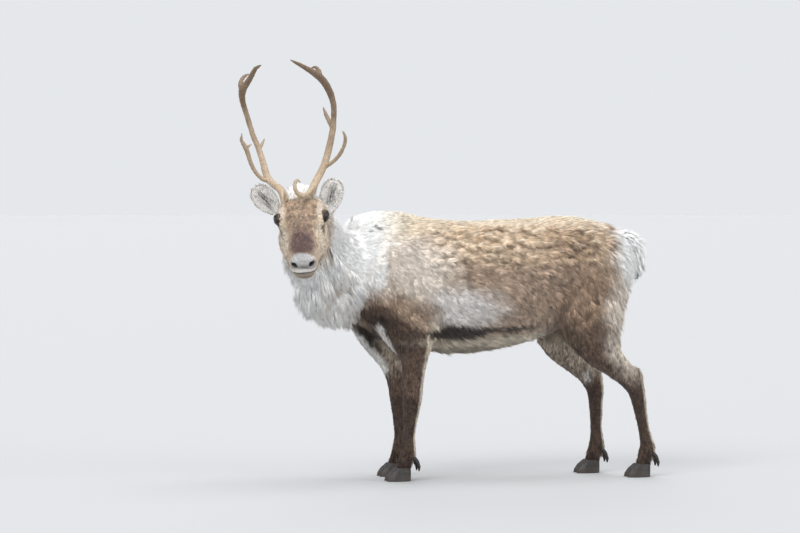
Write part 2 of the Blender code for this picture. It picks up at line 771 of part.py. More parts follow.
# Tines, each from inside the beam to its tip.
TINES = {
    "antler_left_brow_tine": [
        (0.051, 0.015, 0.004, 0.0095, 0.0090),
        (0.036, -0.008, -0.045, 0.0085, 0.0085),
        (0.014, -0.020, -0.088, 0.0085, 0.0095),
        (-0.005, -0.004, -0.106, 0.0075, 0.0080),
        (-0.011, 0.019, -0.110, 0.0062, 0.0065),
        (-0.003, 0.036, -0.104, 0.0048, 0.0050),
        (0.009, 0.027, -0.098, 0.0020, 0.0020),
    ],
    "antler_left_bez_tine": [
        (0.085, 0.076, 0.080, 0.0080, 0.0080),
        (0.113, 0.093, 0.058, 0.0068, 0.0068),
        (0.137, 0.116, 0.030, 0.0066, 0.0066),
        (0.153, 0.145, 0.008, 0.0064, 0.0064),
        (0.160, 0.171, -0.006, 0.0056, 0.0056),
        (0.156, 0.190, -0.013, 0.0042, 0.0042),
        (0.149, 0.202, -0.018, 0.0016, 0.0016),
    ],
    "antler_left_back_tine": [
        (0.113, 0.209, 0.152, 0.0075, 0.0075),
        (0.102, 0.232, 0.172, 0.0070, 0.0075),
        (0.090, 0.257, 0.196, 0.0065, 0.0070),
        (0.080, 0.282, 0.222, 0.0016, 0.0016),
    ],
    "antler_left_top_tine": [
        (0.076, 0.379, 0.044, 0.0085, 0.0085),
        (0.069, 0.405, 0.062, 0.0072, 0.0072),
        (0.056, 0.419, 0.082, 0.0052, 0.0052),
        (0.040, 0.415, 0.098, 0.0016, 0.0016),
    ],
    "antler_right_brow_tine": [
        (-0.058, -0.004, 0.000, 0.0080, 0.0080),
        (-0.055, -0.012, -0.038, 0.0062, 0.0062),
        (-0.053, -0.024, -0.072, 0.0046, 0.0046),
        (-0.050, -0.045, -0.098, 0.0016, 0.0016),
    ],
    "antler_right_bez_tine": [
        (-0.099, 0.029, 0.042, 0.0085, 0.0085),
        (-0.126, 0.038, 0.026, 0.0072, 0.0072),
        (-0.151, 0.067, 0.004, 0.0070, 0.0070),
        (-0.165, 0.100, -0.012, 0.0074, 0.0074),
        (-0.174, 0.132, -0.024, 0.0084, 0.0078),
        (-0.184, 0.153, -0.033, 0.0076, 0.0072),
        (-0.193, 0.170, -0.042, 0.0056, 0.0056),
        (-0.191, 0.193, -0.050, 0.0018, 0.0018),
    ],
    "antler_right_back_tine": [
        (-0.140, 0.135, 0.134, 0.0070, 0.0070),
        (-0.133, 0.148, 0.156, 0.0058, 0.0058),
        (-0.127, 0.161, 0.178, 0.0044, 0.0044),
        (-0.122, 0.174, 0.198, 0.0015, 0.0015),
    ],
    "antler_right_top_tine": [
        (-0.194, 0.331, 0.106, 0.0090, 0.0090),
        (-0.202, 0.357, 0.118, 0.0082, 0.0082),
        (-0.197, 0.378, 0.134, 0.0068, 0.0068),
        (-0.185, 0.391, 0.148, 0.0048, 0.0048),
        (-0.173, 0.396, 0.158, 0.0016, 0.0016),
    ],
    "antler_right_bez_spur": [
        (-0.179, 0.143, -0.028, 0.0055, 0.0055),
        (-0.169, 0.149, -0.022, 0.0042, 0.0042),
        (-0.159, 0.156, -0.014, 0.0014, 0.0014),
    ],
}
# The share of each beam, in keys, where its lower part ends.
BEAM_SPLIT = {"left": 6, "right": 8}


def antler_rows(keys, steps):
    """A spline of antler keys, carried into the part's frame."""
    rows = spline(keys, steps)
    up = Vector((0, 0, 1))
    placed = []
    for left, high, back, across, deep in rows:
        point = ANTLER_ORIGIN + ANTLER_LEFT * left + up * high + ANTLER_BACK * back
        placed.append((*point, across, deep))
    return placed


def beam(word, keys):
    """One antler's beam as a lower and an upper length, cut square where they meet."""
    steps, segments = 2, 8
    rows = antler_rows(keys, steps)
    split = BEAM_SPLIT[word] * steps
    side = tuple(ANTLER_LEFT)
    lower = rows_to_tube(
        f"antler_{word}_beam", rows, side, segments, "antler", stop=split + 1, flat=(False, True)
    )
    along = Vector(np.subtract(rows[split + 1][:3], rows[split - 1][:3])).normalized()
    joint = Vector(rows[split][:3]) + along * GAP
    upper_rows = [*rows[:split], (*joint, *rows[split][3:]), *rows[split + 1 :]]
    upper = rows_to_tube(
        f"antler_{word}_crown", upper_rows, side, segments, "antler", start=split, flat=(True, False)
    )
    return lower, upper


def antlers(head):
    """Both antlers, parted at their forks and set on the head."""
    beams = {}
    for word, keys in (("left", BEAM_LEFT), ("right", BEAM_RIGHT)):
        lower, upper = beam(word, keys)
        clear_of(lower, head)
        beams[word] = (lower, upper)
    for name, keys in TINES.items():
        word = name.split("_")[1]
        steps = 2
        made = rows_to_tube(name, antler_rows(keys, steps), tuple(ANTLER_LEFT), 6, "antler")
        if name.endswith("top_tine"):
            boolean(beams[word][1], made, "UNION")
            remove(made)
        elif name.endswith("spur"):
            bez = bpy.data.objects[f"antler_{word}_bez_tine"]
            boolean(bez, made, "UNION")
            remove(made)
        else:
            clear_of(made, head, *beams[word])


# Hooves. Each is a half moon, and its rings rise from the sole: height, share of the sole, set back.
HOOF_LENGTH = 0.088
HOOF_WIDTH = 0.040
HOOF_SPLAY = math.radians(7.0)
HOOF_RINGS = [(0.0, 1.0, 0.0), (0.014, 0.97, 0.002), (0.030, 0.84, 0.008), (0.047, 0.60, 0.017)]
HOOF_SIDES = 12
HOOF_AHEAD = 0.018


def hoof(name, foot, side):
    """One half of a foot, with its flat sole on the ground. side is where it lies, left or right."""
    bm = bmesh.new()
    rings = []
    for height, share, back in HOOF_RINGS:
        ring = bmesh.ops.create_circle(bm, segments=HOOF_SIDES, radius=1.0)["verts"]
        for vert in ring:
            along, across = vert.co.x, vert.co.y
            curve = 1.0 if across > 0 else 0.55
            toe = 1 - 0.35 * max(-along, 0) ** 2
            vert.co = (
                back + along * share * HOOF_LENGTH / 2,
                side * (across * curve * toe * share * HOOF_WIDTH / 2 + HOOF_WIDTH * 0.42),
                height,
            )
        rings.append(ring)
    bridge(bm, rings)
    for ring in (rings[0], rings[-1]):
        bm.faces.new(ring)
    turn = Matrix.Rotation(-side * HOOF_SPLAY, 3, "Z")
    bmesh.ops.rotate(bm, cent=Vector((0, 0, 0)), matrix=turn, verts=bm.verts)
    bmesh.ops.translate(bm, vec=Vector((foot[0] - HOOF_AHEAD, foot[1], 0)), verts=bm.verts)
    return add(name, bm, "hoof")


def dewclaw(name, fetlock, side):
    """A small hoof behind the fetlock, pointing down and back."""
    x, y, z = fetlock
    keys = [
        (x + 0.010, y + side * 0.013, z - 0.012, 0.0105, 0.0090),
        (x + 0.026, y + side * 0.017, z - 0.030, 0.0105, 0.0080),
        (x + 0.034, y + side * 0.019, z - 0.050, 0.0080, 0.0055),
        (x + 0.033, y + side * 0.020, z - 0.064, 0.0030, 0.0022),
    ]
    return tube(name, keys, segments=7, steps=1, slot="hoof")


def feet(name, cannon):
    """The two hooves and two dewclaws of one leg, and the room for them in its cannon."""
    keys, side = LEGS[name]
    foot = (keys[-1][0], side * keys[-1][1])
    x, y, z = keys[-3][:3]
    fetlock = (x, side * y, z)
    for word, way in (("outer", side), ("inner", -side)):
        made = hoof(f"{name}_hoof_{word}", foot, way)
        clear_of(cannon, made)
        claw = dewclaw(f"{name}_dewclaw_{word}", fetlock, way)
        clear_of(claw, cannon, made)


# Cuts. The torso gives up each leg below its plane, and each leg is cut again at knee or hock.
NECK_CUT = (Vector((-0.458, 0.0, 0.720)), Vector((-0.902, 0.0, 0.431)))
HEAD_CORNER = Vector((0.004, 0.0, -0.212))
HEAD_CORNER_TURN = math.radians(-12.0)
LEG_CUTS = {
    "foreleg_left": ((-0.52, -0.235), 0.424, 0.290),
    "foreleg_right": ((-0.56, -0.235), 0.424, 0.290),
    "hindleg_left": ((0.165, 0.62), 0.478, 0.335),
    "hindleg_right": ((0.130, 0.62), 0.478, 0.325),
}
LEG_NODES = {"fore": ("forearm", "cannon"), "hind": ("gaskin", "cannon")}


def part_legs(trunk):
    """Cuts the four legs from the trunk, and each leg in two."""
    for name, ((front, rear), high, joint) in LEG_CUTS.items():
        side = LEGS[name][1]
        near, far = sorted((side * 0.004, side * 0.30))
        region = block("region", (front, near, -0.1), (rear, far, high))
        whole = copy_of(trunk, name)
        boolean(trunk, region, "DIFFERENCE")
        lowered = block("lowered", (front, near, -0.1), (rear, far, high - GAP))
        boolean(whole, lowered, "INTERSECT")
        upper_word, lower_word = LEG_NODES[name[:4]]
        upper = copy_of(whole, f"{name}_{upper_word}")
        below = block("below", (front - 1, -1, -0.2), (rear + 1, 1, joint))
        boolean(upper, below, "DIFFERENCE")
        whole.name = f"{name}_{lower_word}"
        kept = block("kept", (front - 1, -1, -0.2), (rear + 1, 1, joint - GAP))
        boolean(whole, kept, "INTERSECT")
        remove(region, lowered, below, kept)
        dress(upper, "leg")
        dress(whole, "leg")
        feet(name, whole)


# The tail, from its root on the rump down: centre, half width across, half depth.
TAIL_KEYS = [
    (0.440, 0.0, 0.838, 0.020, 0.020),
    (0.478, 0.0, 0.822, 0.023, 0.019),
    (0.503, 0.0, 0.790, 0.022, 0.017),
    (0.510, 0.0, 0.752, 0.017, 0.013),
    (0.506, 0.0, 0.722, 0.009, 0.007),
]


def head_region(name, inset):
    """The box that the head fills, with one edge where jaw and throat meet."""
    turn = HEAD.to_3x3() @ Matrix.Rotation(HEAD_CORNER_TURN, 3, "Y")
    return block(name, (inset, -0.5, inset), (1.0, 0.5, 1.0), turn, head_point(*HEAD_CORNER))


def dress(obj, slot):
    """Gives the object one material in place of those that it has."""
    obj.data.materials.clear()
    obj.data.materials.append(material(slot))


def main():
    for obj in list(bpy.data.objects):
        bpy.data.objects.remove(obj)

    flesh = [torso(), neck_tube(), *muscles(), *mane_masses(MANE_CORE)]
    for name in LEGS:
        flesh += leg(name)
    body = blended("torso", flesh + head_flesh(), BODY_VOXEL, 6, BODY_TRIANGLES)

    head = blended("head", [*head_flesh(), neck_tube()], HEAD_VOXEL, 5, HEAD_TRIANGLES, "face")
    region = head_region("head_region", GAP)
    boolean(head, region, "INTERSECT")
    remove(region)
    smooth_head = copy_of(head, "smooth_head")
    eyes = eye_sockets(head)
    mouth_line(head)
    nostrils(head)
    for eye in eyes:
        clear_of(head, eye)
    antlers(smooth_head)
    for name in EARS:
        clear_of(ear(name), smooth_head)

    neck = copy_of(body, "neck")
    fuse(neck, mane_locks(neck))
    neck_point, neck_normal = NECK_CUT
    ahead = half_space("ahead", neck_point + neck_normal * GAP, neck_normal)
    region = head_region("head_region", 0.0)
    boolean(neck, ahead, "INTERSECT")
    boolean(neck, region, "DIFFERENCE")
    behind = half_space("behind", neck_point, neck_normal)
    boolean(body, behind, "DIFFERENCE")
    remove(ahead, region, behind, smooth_head)
    dress(neck, "mane")

    part_legs(body)
    tail = tube("tail", TAIL_KEYS, segments=12, steps=2, slot="mane")
    clear_of(tail, body)
    settle()


def settle():
    """Sets the origin under the middle of the model's box, on the floor."""
    points = np.array([vert.co for obj in bpy.data.objects for vert in obj.data.vertices])
    low, high = Vector(points.min(axis=0)), Vector(points.max(axis=0))
    shift = Vector((-(low.x + high.x) / 2, -(low.y + high.y) / 2, -low.z))
    for obj in bpy.data.objects:
        obj.data.transform(Matrix.Translation(shift))
        obj.data.set_sharp_from_angle(angle=math.radians(35))


main()
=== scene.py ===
"""A still, life-size reindeer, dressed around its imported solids.

One skin takes the place of the flesh, and the coat and mane grow on it as tapered tufts.
The eyes, antlers and hooves are pieces of their own.
"""

import json
import logging
import math
from dataclasses import dataclass, field
from enum import Enum, IntEnum
from typing import Any, Callable, Optional, Sequence

import bmesh
import bpy
import numpy as np
from mathutils import Matrix, Vector
from mathutils.kdtree import KDTree

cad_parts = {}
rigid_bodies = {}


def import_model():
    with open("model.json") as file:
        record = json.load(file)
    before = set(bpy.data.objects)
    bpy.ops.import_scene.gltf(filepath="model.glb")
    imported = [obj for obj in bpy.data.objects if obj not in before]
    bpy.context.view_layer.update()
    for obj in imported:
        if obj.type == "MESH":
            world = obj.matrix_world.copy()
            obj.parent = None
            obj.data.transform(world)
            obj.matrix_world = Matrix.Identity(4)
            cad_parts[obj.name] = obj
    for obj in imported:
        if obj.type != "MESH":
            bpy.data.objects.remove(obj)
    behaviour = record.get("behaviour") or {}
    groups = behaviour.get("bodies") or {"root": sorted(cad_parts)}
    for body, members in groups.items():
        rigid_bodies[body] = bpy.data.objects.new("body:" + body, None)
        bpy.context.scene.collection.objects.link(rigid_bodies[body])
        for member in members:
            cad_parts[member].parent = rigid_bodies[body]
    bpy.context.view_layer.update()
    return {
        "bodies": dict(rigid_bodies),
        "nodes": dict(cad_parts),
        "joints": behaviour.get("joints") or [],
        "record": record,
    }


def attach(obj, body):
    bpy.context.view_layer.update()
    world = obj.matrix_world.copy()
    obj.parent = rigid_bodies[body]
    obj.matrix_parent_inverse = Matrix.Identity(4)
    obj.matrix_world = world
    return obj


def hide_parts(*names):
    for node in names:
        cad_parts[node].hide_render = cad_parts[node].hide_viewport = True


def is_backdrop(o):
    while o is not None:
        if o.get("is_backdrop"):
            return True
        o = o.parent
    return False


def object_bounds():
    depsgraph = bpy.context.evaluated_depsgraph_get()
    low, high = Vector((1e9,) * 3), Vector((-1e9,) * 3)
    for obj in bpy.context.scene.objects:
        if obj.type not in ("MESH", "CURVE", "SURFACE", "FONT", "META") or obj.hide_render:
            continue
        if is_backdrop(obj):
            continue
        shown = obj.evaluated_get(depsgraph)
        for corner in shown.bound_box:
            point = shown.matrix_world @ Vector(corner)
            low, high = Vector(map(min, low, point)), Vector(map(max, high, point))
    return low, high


LOG = logging.getLogger("reindeer")

BODY = "root"
COLOUR_LAYER = "coat_colour"
BAKE_LAYER = "OFBake"
STRAND_LAYER = "Strand"
SIDES = (1, -1)


def unit(rows: np.ndarray) -> np.ndarray:
    """Rows of vectors at length one."""
    return rows / np.maximum(np.linalg.norm(rows, axis=-1, keepdims=True), 1e-9)


def dot(a: np.ndarray, b: np.ndarray) -> np.ndarray:
    """Row by row dot product, kept as a column."""
    return np.sum(a * b, axis=-1, keepdims=True)


def smoothstep(values: np.ndarray) -> np.ndarray:
    """Values eased from 0 to 1, and held outside."""
    t = np.clip(values, 0.0, 1.0)
    return t * t * (3.0 - 2.0 * t)


def with_painted_depth_shade(colour: np.ndarray, share: float) -> np.ndarray:
    """Colours with painted shade, as they look low in the coat between the hairs: dark ones darker by a
    share, white ones hardly.
    """
    bright = colour.mean(axis=-1, keepdims=True)
    return colour * (share + (0.95 - share) * smoothstep(bright / 0.85))


def reach(points: np.ndarray, centre: Sequence[float], radii: Sequence[float]) -> np.ndarray:
    """How far out of an ellipsoid each point is, as a column with 1 at its surface."""
    return np.linalg.norm((points - np.array(centre)) / np.array(radii), axis=1, keepdims=True)


def wave_noise(points: np.ndarray, size: float, seed: int) -> np.ndarray:
    """Smooth noise from -1 to 1 made of plane waves.

    Args:
        points: Where it is read, one row a point.
        size: How far apart its lumps are, in metres.
        seed: Which pattern is drawn.

    Returns:
        One value a point.
    """
    draw = np.random.default_rng(seed)
    total = np.zeros(len(points))
    for _ in range(9):
        way = unit(draw.normal(size=3)) * draw.uniform(0.6, 1.5) * 2.0 * math.pi / size
        total += np.sin(points @ way + draw.uniform(0.0, 2.0 * math.pi))
    return np.clip(total / 3.4, -1.0, 1.0)


class Hair(Enum):
    """The coat's colours, in the 0 to 255 of a display."""

    WHITE = (236, 233, 228)
    SNOW = (250, 249, 246)
    CREAM = (224, 212, 192)
    SAND = (212, 191, 165)
    GOLD = (208, 178, 142)
    TAN = (180, 155, 131)
    GREY_BROWN = (171, 149, 130)
    FAWN = (162, 135, 111)
    DUN = (190, 170, 147)
    # A grey-brown for undersides: partly their own colour, partly painted shade.
    STONE = (160, 150, 133)
    ASH = (226, 214, 201)
    FROST = (214, 210, 207)
    UMBER = (108, 88, 74)
    BARK = (84, 67, 57)
    PEAT = (44, 35, 30)
    MUZZLE = (100, 76, 70)
    SMOKE = (186, 184, 183)
    INK = (24, 20, 20)

    def linear(self) -> np.ndarray:
        """The colour as a shader takes it."""
        share = np.array(self.value) / 255.0
        return np.where(share <= 0.04045, share / 12.92, ((share + 0.055) / 1.055) ** 2.4)


def math_method(operation: str, swapped: bool = False) -> Callable:
    """A method that joins a value with another one by a Math node.

    Args:
        operation: What the node does.
        swapped: True where the other value comes first.

    Returns:
        The method.
    """

    def joined(self: "Value", other: Any) -> "Value":
        """The joined value."""
        pair = (other, self) if swapped else (self, other)
        return self.tree.number("Math", {"operation": operation}, dict(enumerate(pair)))

    return joined


class Value:
    """A number socket of a material that takes part in Python expressions."""

    __add__, __radd__ = math_method("ADD"), math_method("ADD", True)
    __sub__, __rsub__ = math_method("SUBTRACT"), math_method("SUBTRACT", True)
    __mul__, __rmul__ = math_method("MULTIPLY"), math_method("MULTIPLY", True)
    __pow__ = math_method("POWER")

    def __init__(self, tree: "Tree", socket: bpy.types.NodeSocket) -> None:
        """Keeps the socket and its tree."""
        self.tree = tree
        self.socket = socket

    def clipped(self) -> "Value":
        """The value held between 0 and 1."""
        return self.tree.number("Clamp", {}, {0: self})

    def sine(self) -> "Value":
        """The sine of the value."""
        return self.tree.number("Math", {"operation": "SINE"}, {0: self})


class Tree:
    """The node tree of one material, with the few kinds of node that the finishes use."""

    def __init__(self, name: str) -> None:
        """Starts an empty material."""
        self.material = bpy.data.materials.new(name)
        self.material.use_nodes = True
        self.nodes = self.material.node_tree.nodes
        self.links = self.material.node_tree.links
        self.nodes.clear()

    def node(
        self, kind: str, settings: Optional[dict] = None, inputs: Optional[dict] = None
    ) -> bpy.types.Node:
        """Adds one node.

        Args:
            kind: Its type, without the word ShaderNode.
            settings: Its own settings, or the stops of its ramp, set first.
            inputs: Values or links, by a socket's name or number.

        Returns:
            The node.
        """
        made = self.nodes.new("ShaderNode" + kind)
        for name, setting in (settings or {}).items():
            if name == "stops":
                self.set_stops(made.color_ramp, setting)
            else:
                setattr(made, name, setting)
        for key, value in (inputs or {}).items():
            value = getattr(value, "socket", value)
            if isinstance(value, bpy.types.NodeSocket):
                self.links.new(value, made.inputs[key])
            else:
                made.inputs[key].default_value = value
        return made

    def number(self, kind: str, settings: dict, inputs: dict) -> Value:
        """The first output of a new node, as a value."""
        return Value(self, self.node(kind, settings, inputs).outputs[0])

    def axes(self, where: bpy.types.NodeSocket) -> list:
        """The three coordinates as values."""
        return [Value(self, output) for output in self.node("SeparateXYZ", {}, {0: where}).outputs]

    @staticmethod
    def set_stops(ramp: bpy.types.ColorRamp, stops: Sequence[tuple]) -> None:
        """Gives a ramp its stops.

        Args:
            ramp: The ramp.
            stops: Pairs of a place and a colour.
        """
        while len(ramp.elements) < len(stops):
            ramp.elements.new(0.5)
        for element, (place, colour) in zip(ramp.elements, stops):
            element.position = place
            element.color = (*colour, 1.0)

    def place(self, scale: Sequence[float] = (1.0, 1.0, 1.0)) -> bpy.types.NodeSocket:
        """Object coordinates, stretched by a scale."""
        source = self.node("TexCoord").outputs["Object"]
        return self.node("Mapping", {}, {"Vector": source, "Scale": scale}).outputs[0]

    def strands(self, across: float, along: float) -> bpy.types.NodeSocket:
        """The coordinates that run across and along each tuft."""
        source = self.node("UVMap", {"uv_map": STRAND_LAYER}).outputs[0]
        return self.node("Mapping", {}, {"Vector": source, "Scale": (across, along, 1.0)}).outputs[0]

    def noise(self, where: bpy.types.NodeSocket, scale: float, detail: float = 3.0) -> Value:
        """Noise from 0 to 1 at these coordinates."""
        return self.number("TexNoise", {}, {"Vector": where, "Scale": scale, "Detail": detail})

    def layer(self, name: str) -> bpy.types.NodeSocket:
        """The colour layer of a mesh."""
        return self.node("Attribute", {"attribute_name": name}).outputs["Color"]

    def shaded(self, colour: Any, by: Value) -> bpy.types.NodeSocket:
        """A colour made lighter or darker by a value."""
        return self.node("VectorMath", {"operation": "SCALE"}, {0: colour, "Scale": by}).outputs[0]

    def mixed(self, share: Any, first: Any, second: Any) -> bpy.types.NodeSocket:
        """One colour turning into another by a share."""
        made = self.node("Mix", {"data_type": "RGBA"}, {0: share, 6: first, 7: second})
        return made.outputs[2]

    def ramp(self, value: Value, stops: Sequence[tuple]) -> bpy.types.NodeSocket:
        """The colours of a ramp at a value."""
        return self.node("ValToRGB", {"stops": stops}, {0: value}).outputs[0]

    def surface(self, relief: Value, depth: float, **sockets: Any) -> bpy.types.Material:
        """Ends the tree in one shader.

        Args:
            relief: The height that the bump reads.
            depth: How far the bump stands out, in metres.
            sockets: Values or links of the shader's sockets, with spaces as underscores.

        Returns:
            The material.
        """
        bump = self.node("Bump", {}, {"Height": relief, "Distance": depth, "Strength": 1.0})
        named = {name.replace("_", " "): value for name, value in sockets.items()}
        shader = self.node("BsdfPrincipled", {}, {"Normal": bump.outputs[0], **named})
        end = self.node("OutputMaterial")
        self.links.new(shader.outputs[0], end.inputs[0])
        return self.material


@dataclass(frozen=True)
class Finish:
    """What every finish has: the name of its material."""

    name: str


@dataclass(frozen=True)
class CoatFinish(Finish):
    """Hair in tufts: the marking's own colour, drawn out in fine strands from root to tip."""

    strands: float = 7.0
    contrast: float = 0.34
    relief: float = 0.0006

    def material(self) -> bpy.types.Material:
        """Builds the hair's material.

        Returns:
            The material.
        """
        tree = Tree(self.name)
        strand = tree.noise(tree.strands(self.strands, 0.6), 1.0, 2.0)
        shade = (1.0 - self.contrast / 2) + strand * self.contrast
        colour = tree.shaded(tree.layer(COLOUR_LAYER), shade)
        rough = 0.62 + strand * 0.2
        steady = {"Sheen_Weight": 0.12, "Sheen_Roughness": 0.5, "Specular_IOR_Level": 0.28}
        return tree.surface(strand, self.relief, Base_Color=colour, Roughness=rough, **steady)


@dataclass(frozen=True)
class SkinFinish(Finish):
    """The short, flat under-hair of the skin, as fine lines along the lie."""

    grain: Sequence[float] = (40.0, 160.0, 160.0)
    relief: float = 0.0012

    def material(self) -> bpy.types.Material:
        """Builds the material of the skin and its under-hair.

        Returns:
            The material.
        """
        tree = Tree(self.name)
        fine = tree.noise(tree.place(self.grain), 1.0, 3.0)
        broad = tree.noise(tree.place(), 30.0, 2.0)
        shade = 0.66 + fine * 0.34 + broad * 0.16
        colour = tree.shaded(tree.layer(COLOUR_LAYER), shade)
        rough = 0.66 + broad * 0.16
        steady = {"Sheen_Weight": 0.1, "Specular_IOR_Level": 0.25}
        return tree.surface(fine, self.relief, Base_Color=colour, Roughness=rough, **steady)


@dataclass(frozen=True)
class AntlerFinish(Finish):
    """Hard, cleaned bone: pale on the low beams, browner above, in long grooves."""

    pale: Sequence[float] = (0.46, 0.355, 0.245, 1.0)
    brown: Sequence[float] = (0.19, 0.125, 0.078, 1.0)
    groove: Sequence[float] = (0.085, 0.052, 0.034, 1.0)
    brown_from: float = 1.02
    relief: float = 0.0012

    def material(self) -> bpy.types.Material:
        """Builds the bone's material.

        Returns:
            The material.
        """
        tree = Tree(self.name)
        where = tree.place()
        height = tree.axes(where)[2]
        blotch = tree.noise(where, 22.0, 4.0)
        upper = ((height - self.brown_from) * 3.0 + (blotch - 0.5) * 1.3).clipped()
        lines = tree.noise(tree.place((1.0, 1.0, 0.09)), 300.0, 3.0)
        pearls = tree.noise(where, 170.0, 2.0)
        lined = ((lines - 0.5) * 4.2).clipped()
        bone = tree.mixed(upper, self.pale, self.brown)
        colour = tree.mixed(lined * 0.75, bone, self.groove)
        steady = {"Roughness": 0.42 + blotch * 0.22, "Specular_IOR_Level": 0.4}
        return tree.surface(pearls * 0.4 - lines, self.relief, Base_Color=colour, **steady)


@dataclass(frozen=True)
class HoofFinish(Finish):
    """Dark horn in growth rings, worn paler towards the ground."""

    horn: Sequence[float] = (0.016, 0.012, 0.010, 1.0)
    worn: Sequence[float] = (0.060, 0.046, 0.036, 1.0)
    ring: float = 0.0042
    relief: float = 0.0004

    def material(self) -> bpy.types.Material:
        """Builds the horn's material.

        Returns:
            The material.
        """
        tree = Tree(self.name)
        where = tree.place()
        height = tree.axes(where)[2]
        wander = tree.noise(where, 45.0, 2.0)
        rings = ((height + wander * 0.004) * (2.0 * math.pi / self.ring)).sine()
        fibre = tree.noise(tree.place((1.0, 1.0, 0.12)), 420.0, 3.0)
        low = (1.0 - height * 38.0).clipped()
        colour = tree.mixed((low * 0.7 + (fibre - 0.5) * 0.8).clipped(), self.horn, self.worn)
        rough = 0.36 + wander * 0.3
        return tree.surface(rings * 0.25 + fibre, self.relief, Base_Color=colour, Roughness=rough)


@dataclass(frozen=True)
class EyeFinish(Finish):
    """A large dark eye: a level, oblong pupil in a brown iris under a wet, clear front."""

    centre: Vector
    turn: Matrix
    radius: float
    pupil: Sequence[float] = (0.003, 0.003, 0.004, 1.0)
    iris: Sequence[tuple] = (
        (0.0, (0.014, 0.008, 0.005)),
        (0.52, (0.024, 0.013, 0.007)),
        (0.74, (0.006, 0.004, 0.004)),
    )

    def material(self) -> bpy.types.Material:
        """Builds the eye's material, looking along its own axis.

        Returns:
            The material.
        """
        tree = Tree(self.name)
        back = self.turn.to_3x3().transposed()
        scale = 1.0 / self.radius
        source = tree.node("TexCoord").outputs["Object"]
        mapping = {"Vector": source, "Location": -(back @ self.centre) * scale, "Rotation": back.to_euler()}
        local = tree.node("Mapping", {}, {**mapping, "Scale": (scale,) * 3}).outputs[0]
        across, up, _ = tree.axes(local)
        ring = (across * across + up * up) ** 0.5
        slot = (across * across * 3.4 + up * up * 12.0) ** 0.5
        fibre = tree.noise(local, 9.0, 4.0)
        iris = tree.ramp(ring + (fibre - 0.5) * 0.12, self.iris)
        colour = tree.mixed(((0.86 - slot) * 6.0).clipped(), iris, self.pupil)
        steady = {"Coat_Weight": 0.6, "Coat_Roughness": 0.02, "Coat_IOR": 1.35, "Specular_IOR_Level": 0.2}
        return tree.surface(fibre, 0.00005, Base_Color=colour, Roughness=0.25, **steady)


@dataclass(frozen=True)
class LidFinish(Finish):
    """The bare, dark, moist edge of a lid."""

    def material(self) -> bpy.types.Material:
        """Builds the material of the lids' edges.

        Returns:
            The material.
        """
        tree = Tree(self.name)
        fine = tree.noise(tree.place(), 500.0, 3.0)
        colour = tree.mixed(fine, (0.010, 0.008, 0.008, 1.0), (0.040, 0.030, 0.026, 1.0))
        return tree.surface(fine, 0.0004, Base_Color=colour, Roughness=0.38 + fine * 0.2)


@dataclass(frozen=True)
class FloorFinish(Finish):
    """A plain, pale, matt floor."""

    def material(self) -> bpy.types.Material:
        """Builds the floor's material.

        Returns:
            The material.
        """
        tree = Tree(self.name)
        grain = tree.noise(tree.place(), 3.0, 2.0)
        colour = tree.mixed(grain, (0.405, 0.410, 0.417, 1.0), (0.421, 0.425, 0.430, 1.0))
        return tree.surface(grain, 0.0002, Base_Color=colour, Roughness=0.75 + grain * 0.1)


def as_object(name: str, data: Any) -> bpy.types.Object:
    """Links data into the scene as an object at the origin.

    Args:
        name: The object's name.
        data: Its mesh, lamp or camera.

    Returns:
        The object.
    """
    obj = bpy.data.objects.new(name, data)
    bpy.context.scene.collection.objects.link(obj)
    return obj


def as_mesh(name: str, bm: bmesh.types.BMesh) -> bpy.types.Mesh:
    """Turns a bmesh into a new mesh.

    Args:
        name: The mesh's name.
        bm: The bmesh. It is freed.

    Returns:
        The mesh.
    """
    mesh = bpy.data.meshes.new(name)
    bm.to_mesh(mesh)
    bm.free()
    return mesh


def shown(obj: bpy.types.Object, solids: Sequence[str] = ()) -> bpy.types.Object:
    """Makes an object a shown piece of the body.

    Args:
        obj: The object.
        solids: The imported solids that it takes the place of.

    Returns:
        The same object.
    """
    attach(obj, BODY)
    if solids:
        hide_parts(*solids)
    LOG.info("%s: %d faces", obj.name, len(obj.data.polygons))
    return obj


def covered(mesh: bpy.types.Mesh, material: bpy.types.Material) -> bpy.types.Mesh:
    """Gives a mesh one material and smooth faces all over.

    Args:
        mesh: The mesh.
        material: Its material.

    Returns:
        The same mesh.
    """
    mesh.materials.clear()
    mesh.materials.append(material)
    mesh.polygons.foreach_set("material_index", np.zeros(len(mesh.polygons), np.int32))
    mesh.shade_smooth()
    return mesh


def coloured(mesh: bpy.types.Mesh, colours: np.ndarray) -> None:
    """Gives every point of a mesh its colour.

    Args:
        mesh: The mesh.
        colours: One linear colour a point.
    """
    shade = np.ones((*colours.shape[:-1], 4), np.float32)
    shade[..., :3] = colours
    layer = mesh.color_attributes.new(COLOUR_LAYER, "FLOAT_COLOR", "POINT")
    layer.data.foreach_set("color", shade.ravel())


def read(source: Any, word: str, wide: int, kind: type = np.float32) -> np.ndarray:
    """Reads one property of all the items of a mesh's collection.

    Args:
        source: The collection.
        word: The property.
        wide: How many numbers it has.
        kind: The type of its numbers.

    Returns:
        One row an item.
    """
    flat = np.empty(len(source) * wide, kind)
    source.foreach_get(word, flat)
    return flat.reshape(-1, wide)


def move(mesh: bpy.types.Mesh, points: np.ndarray) -> None:
    """Puts the points of a mesh in new places."""
    mesh.vertices.foreach_set("co", points.astype(np.float32).ravel())
    mesh.update()


def nearest(places: np.ndarray, points: np.ndarray) -> list:
    """Finds the nearest place for each point.

    Args:
        places: The places.
        points: The points.

    Returns:
        The number of a place for each point.
    """
    tree = KDTree(len(places))
    for index, place in enumerate(places):
        tree.insert(place, index)
    tree.balance()
    return [tree.find(point)[1] for point in points]


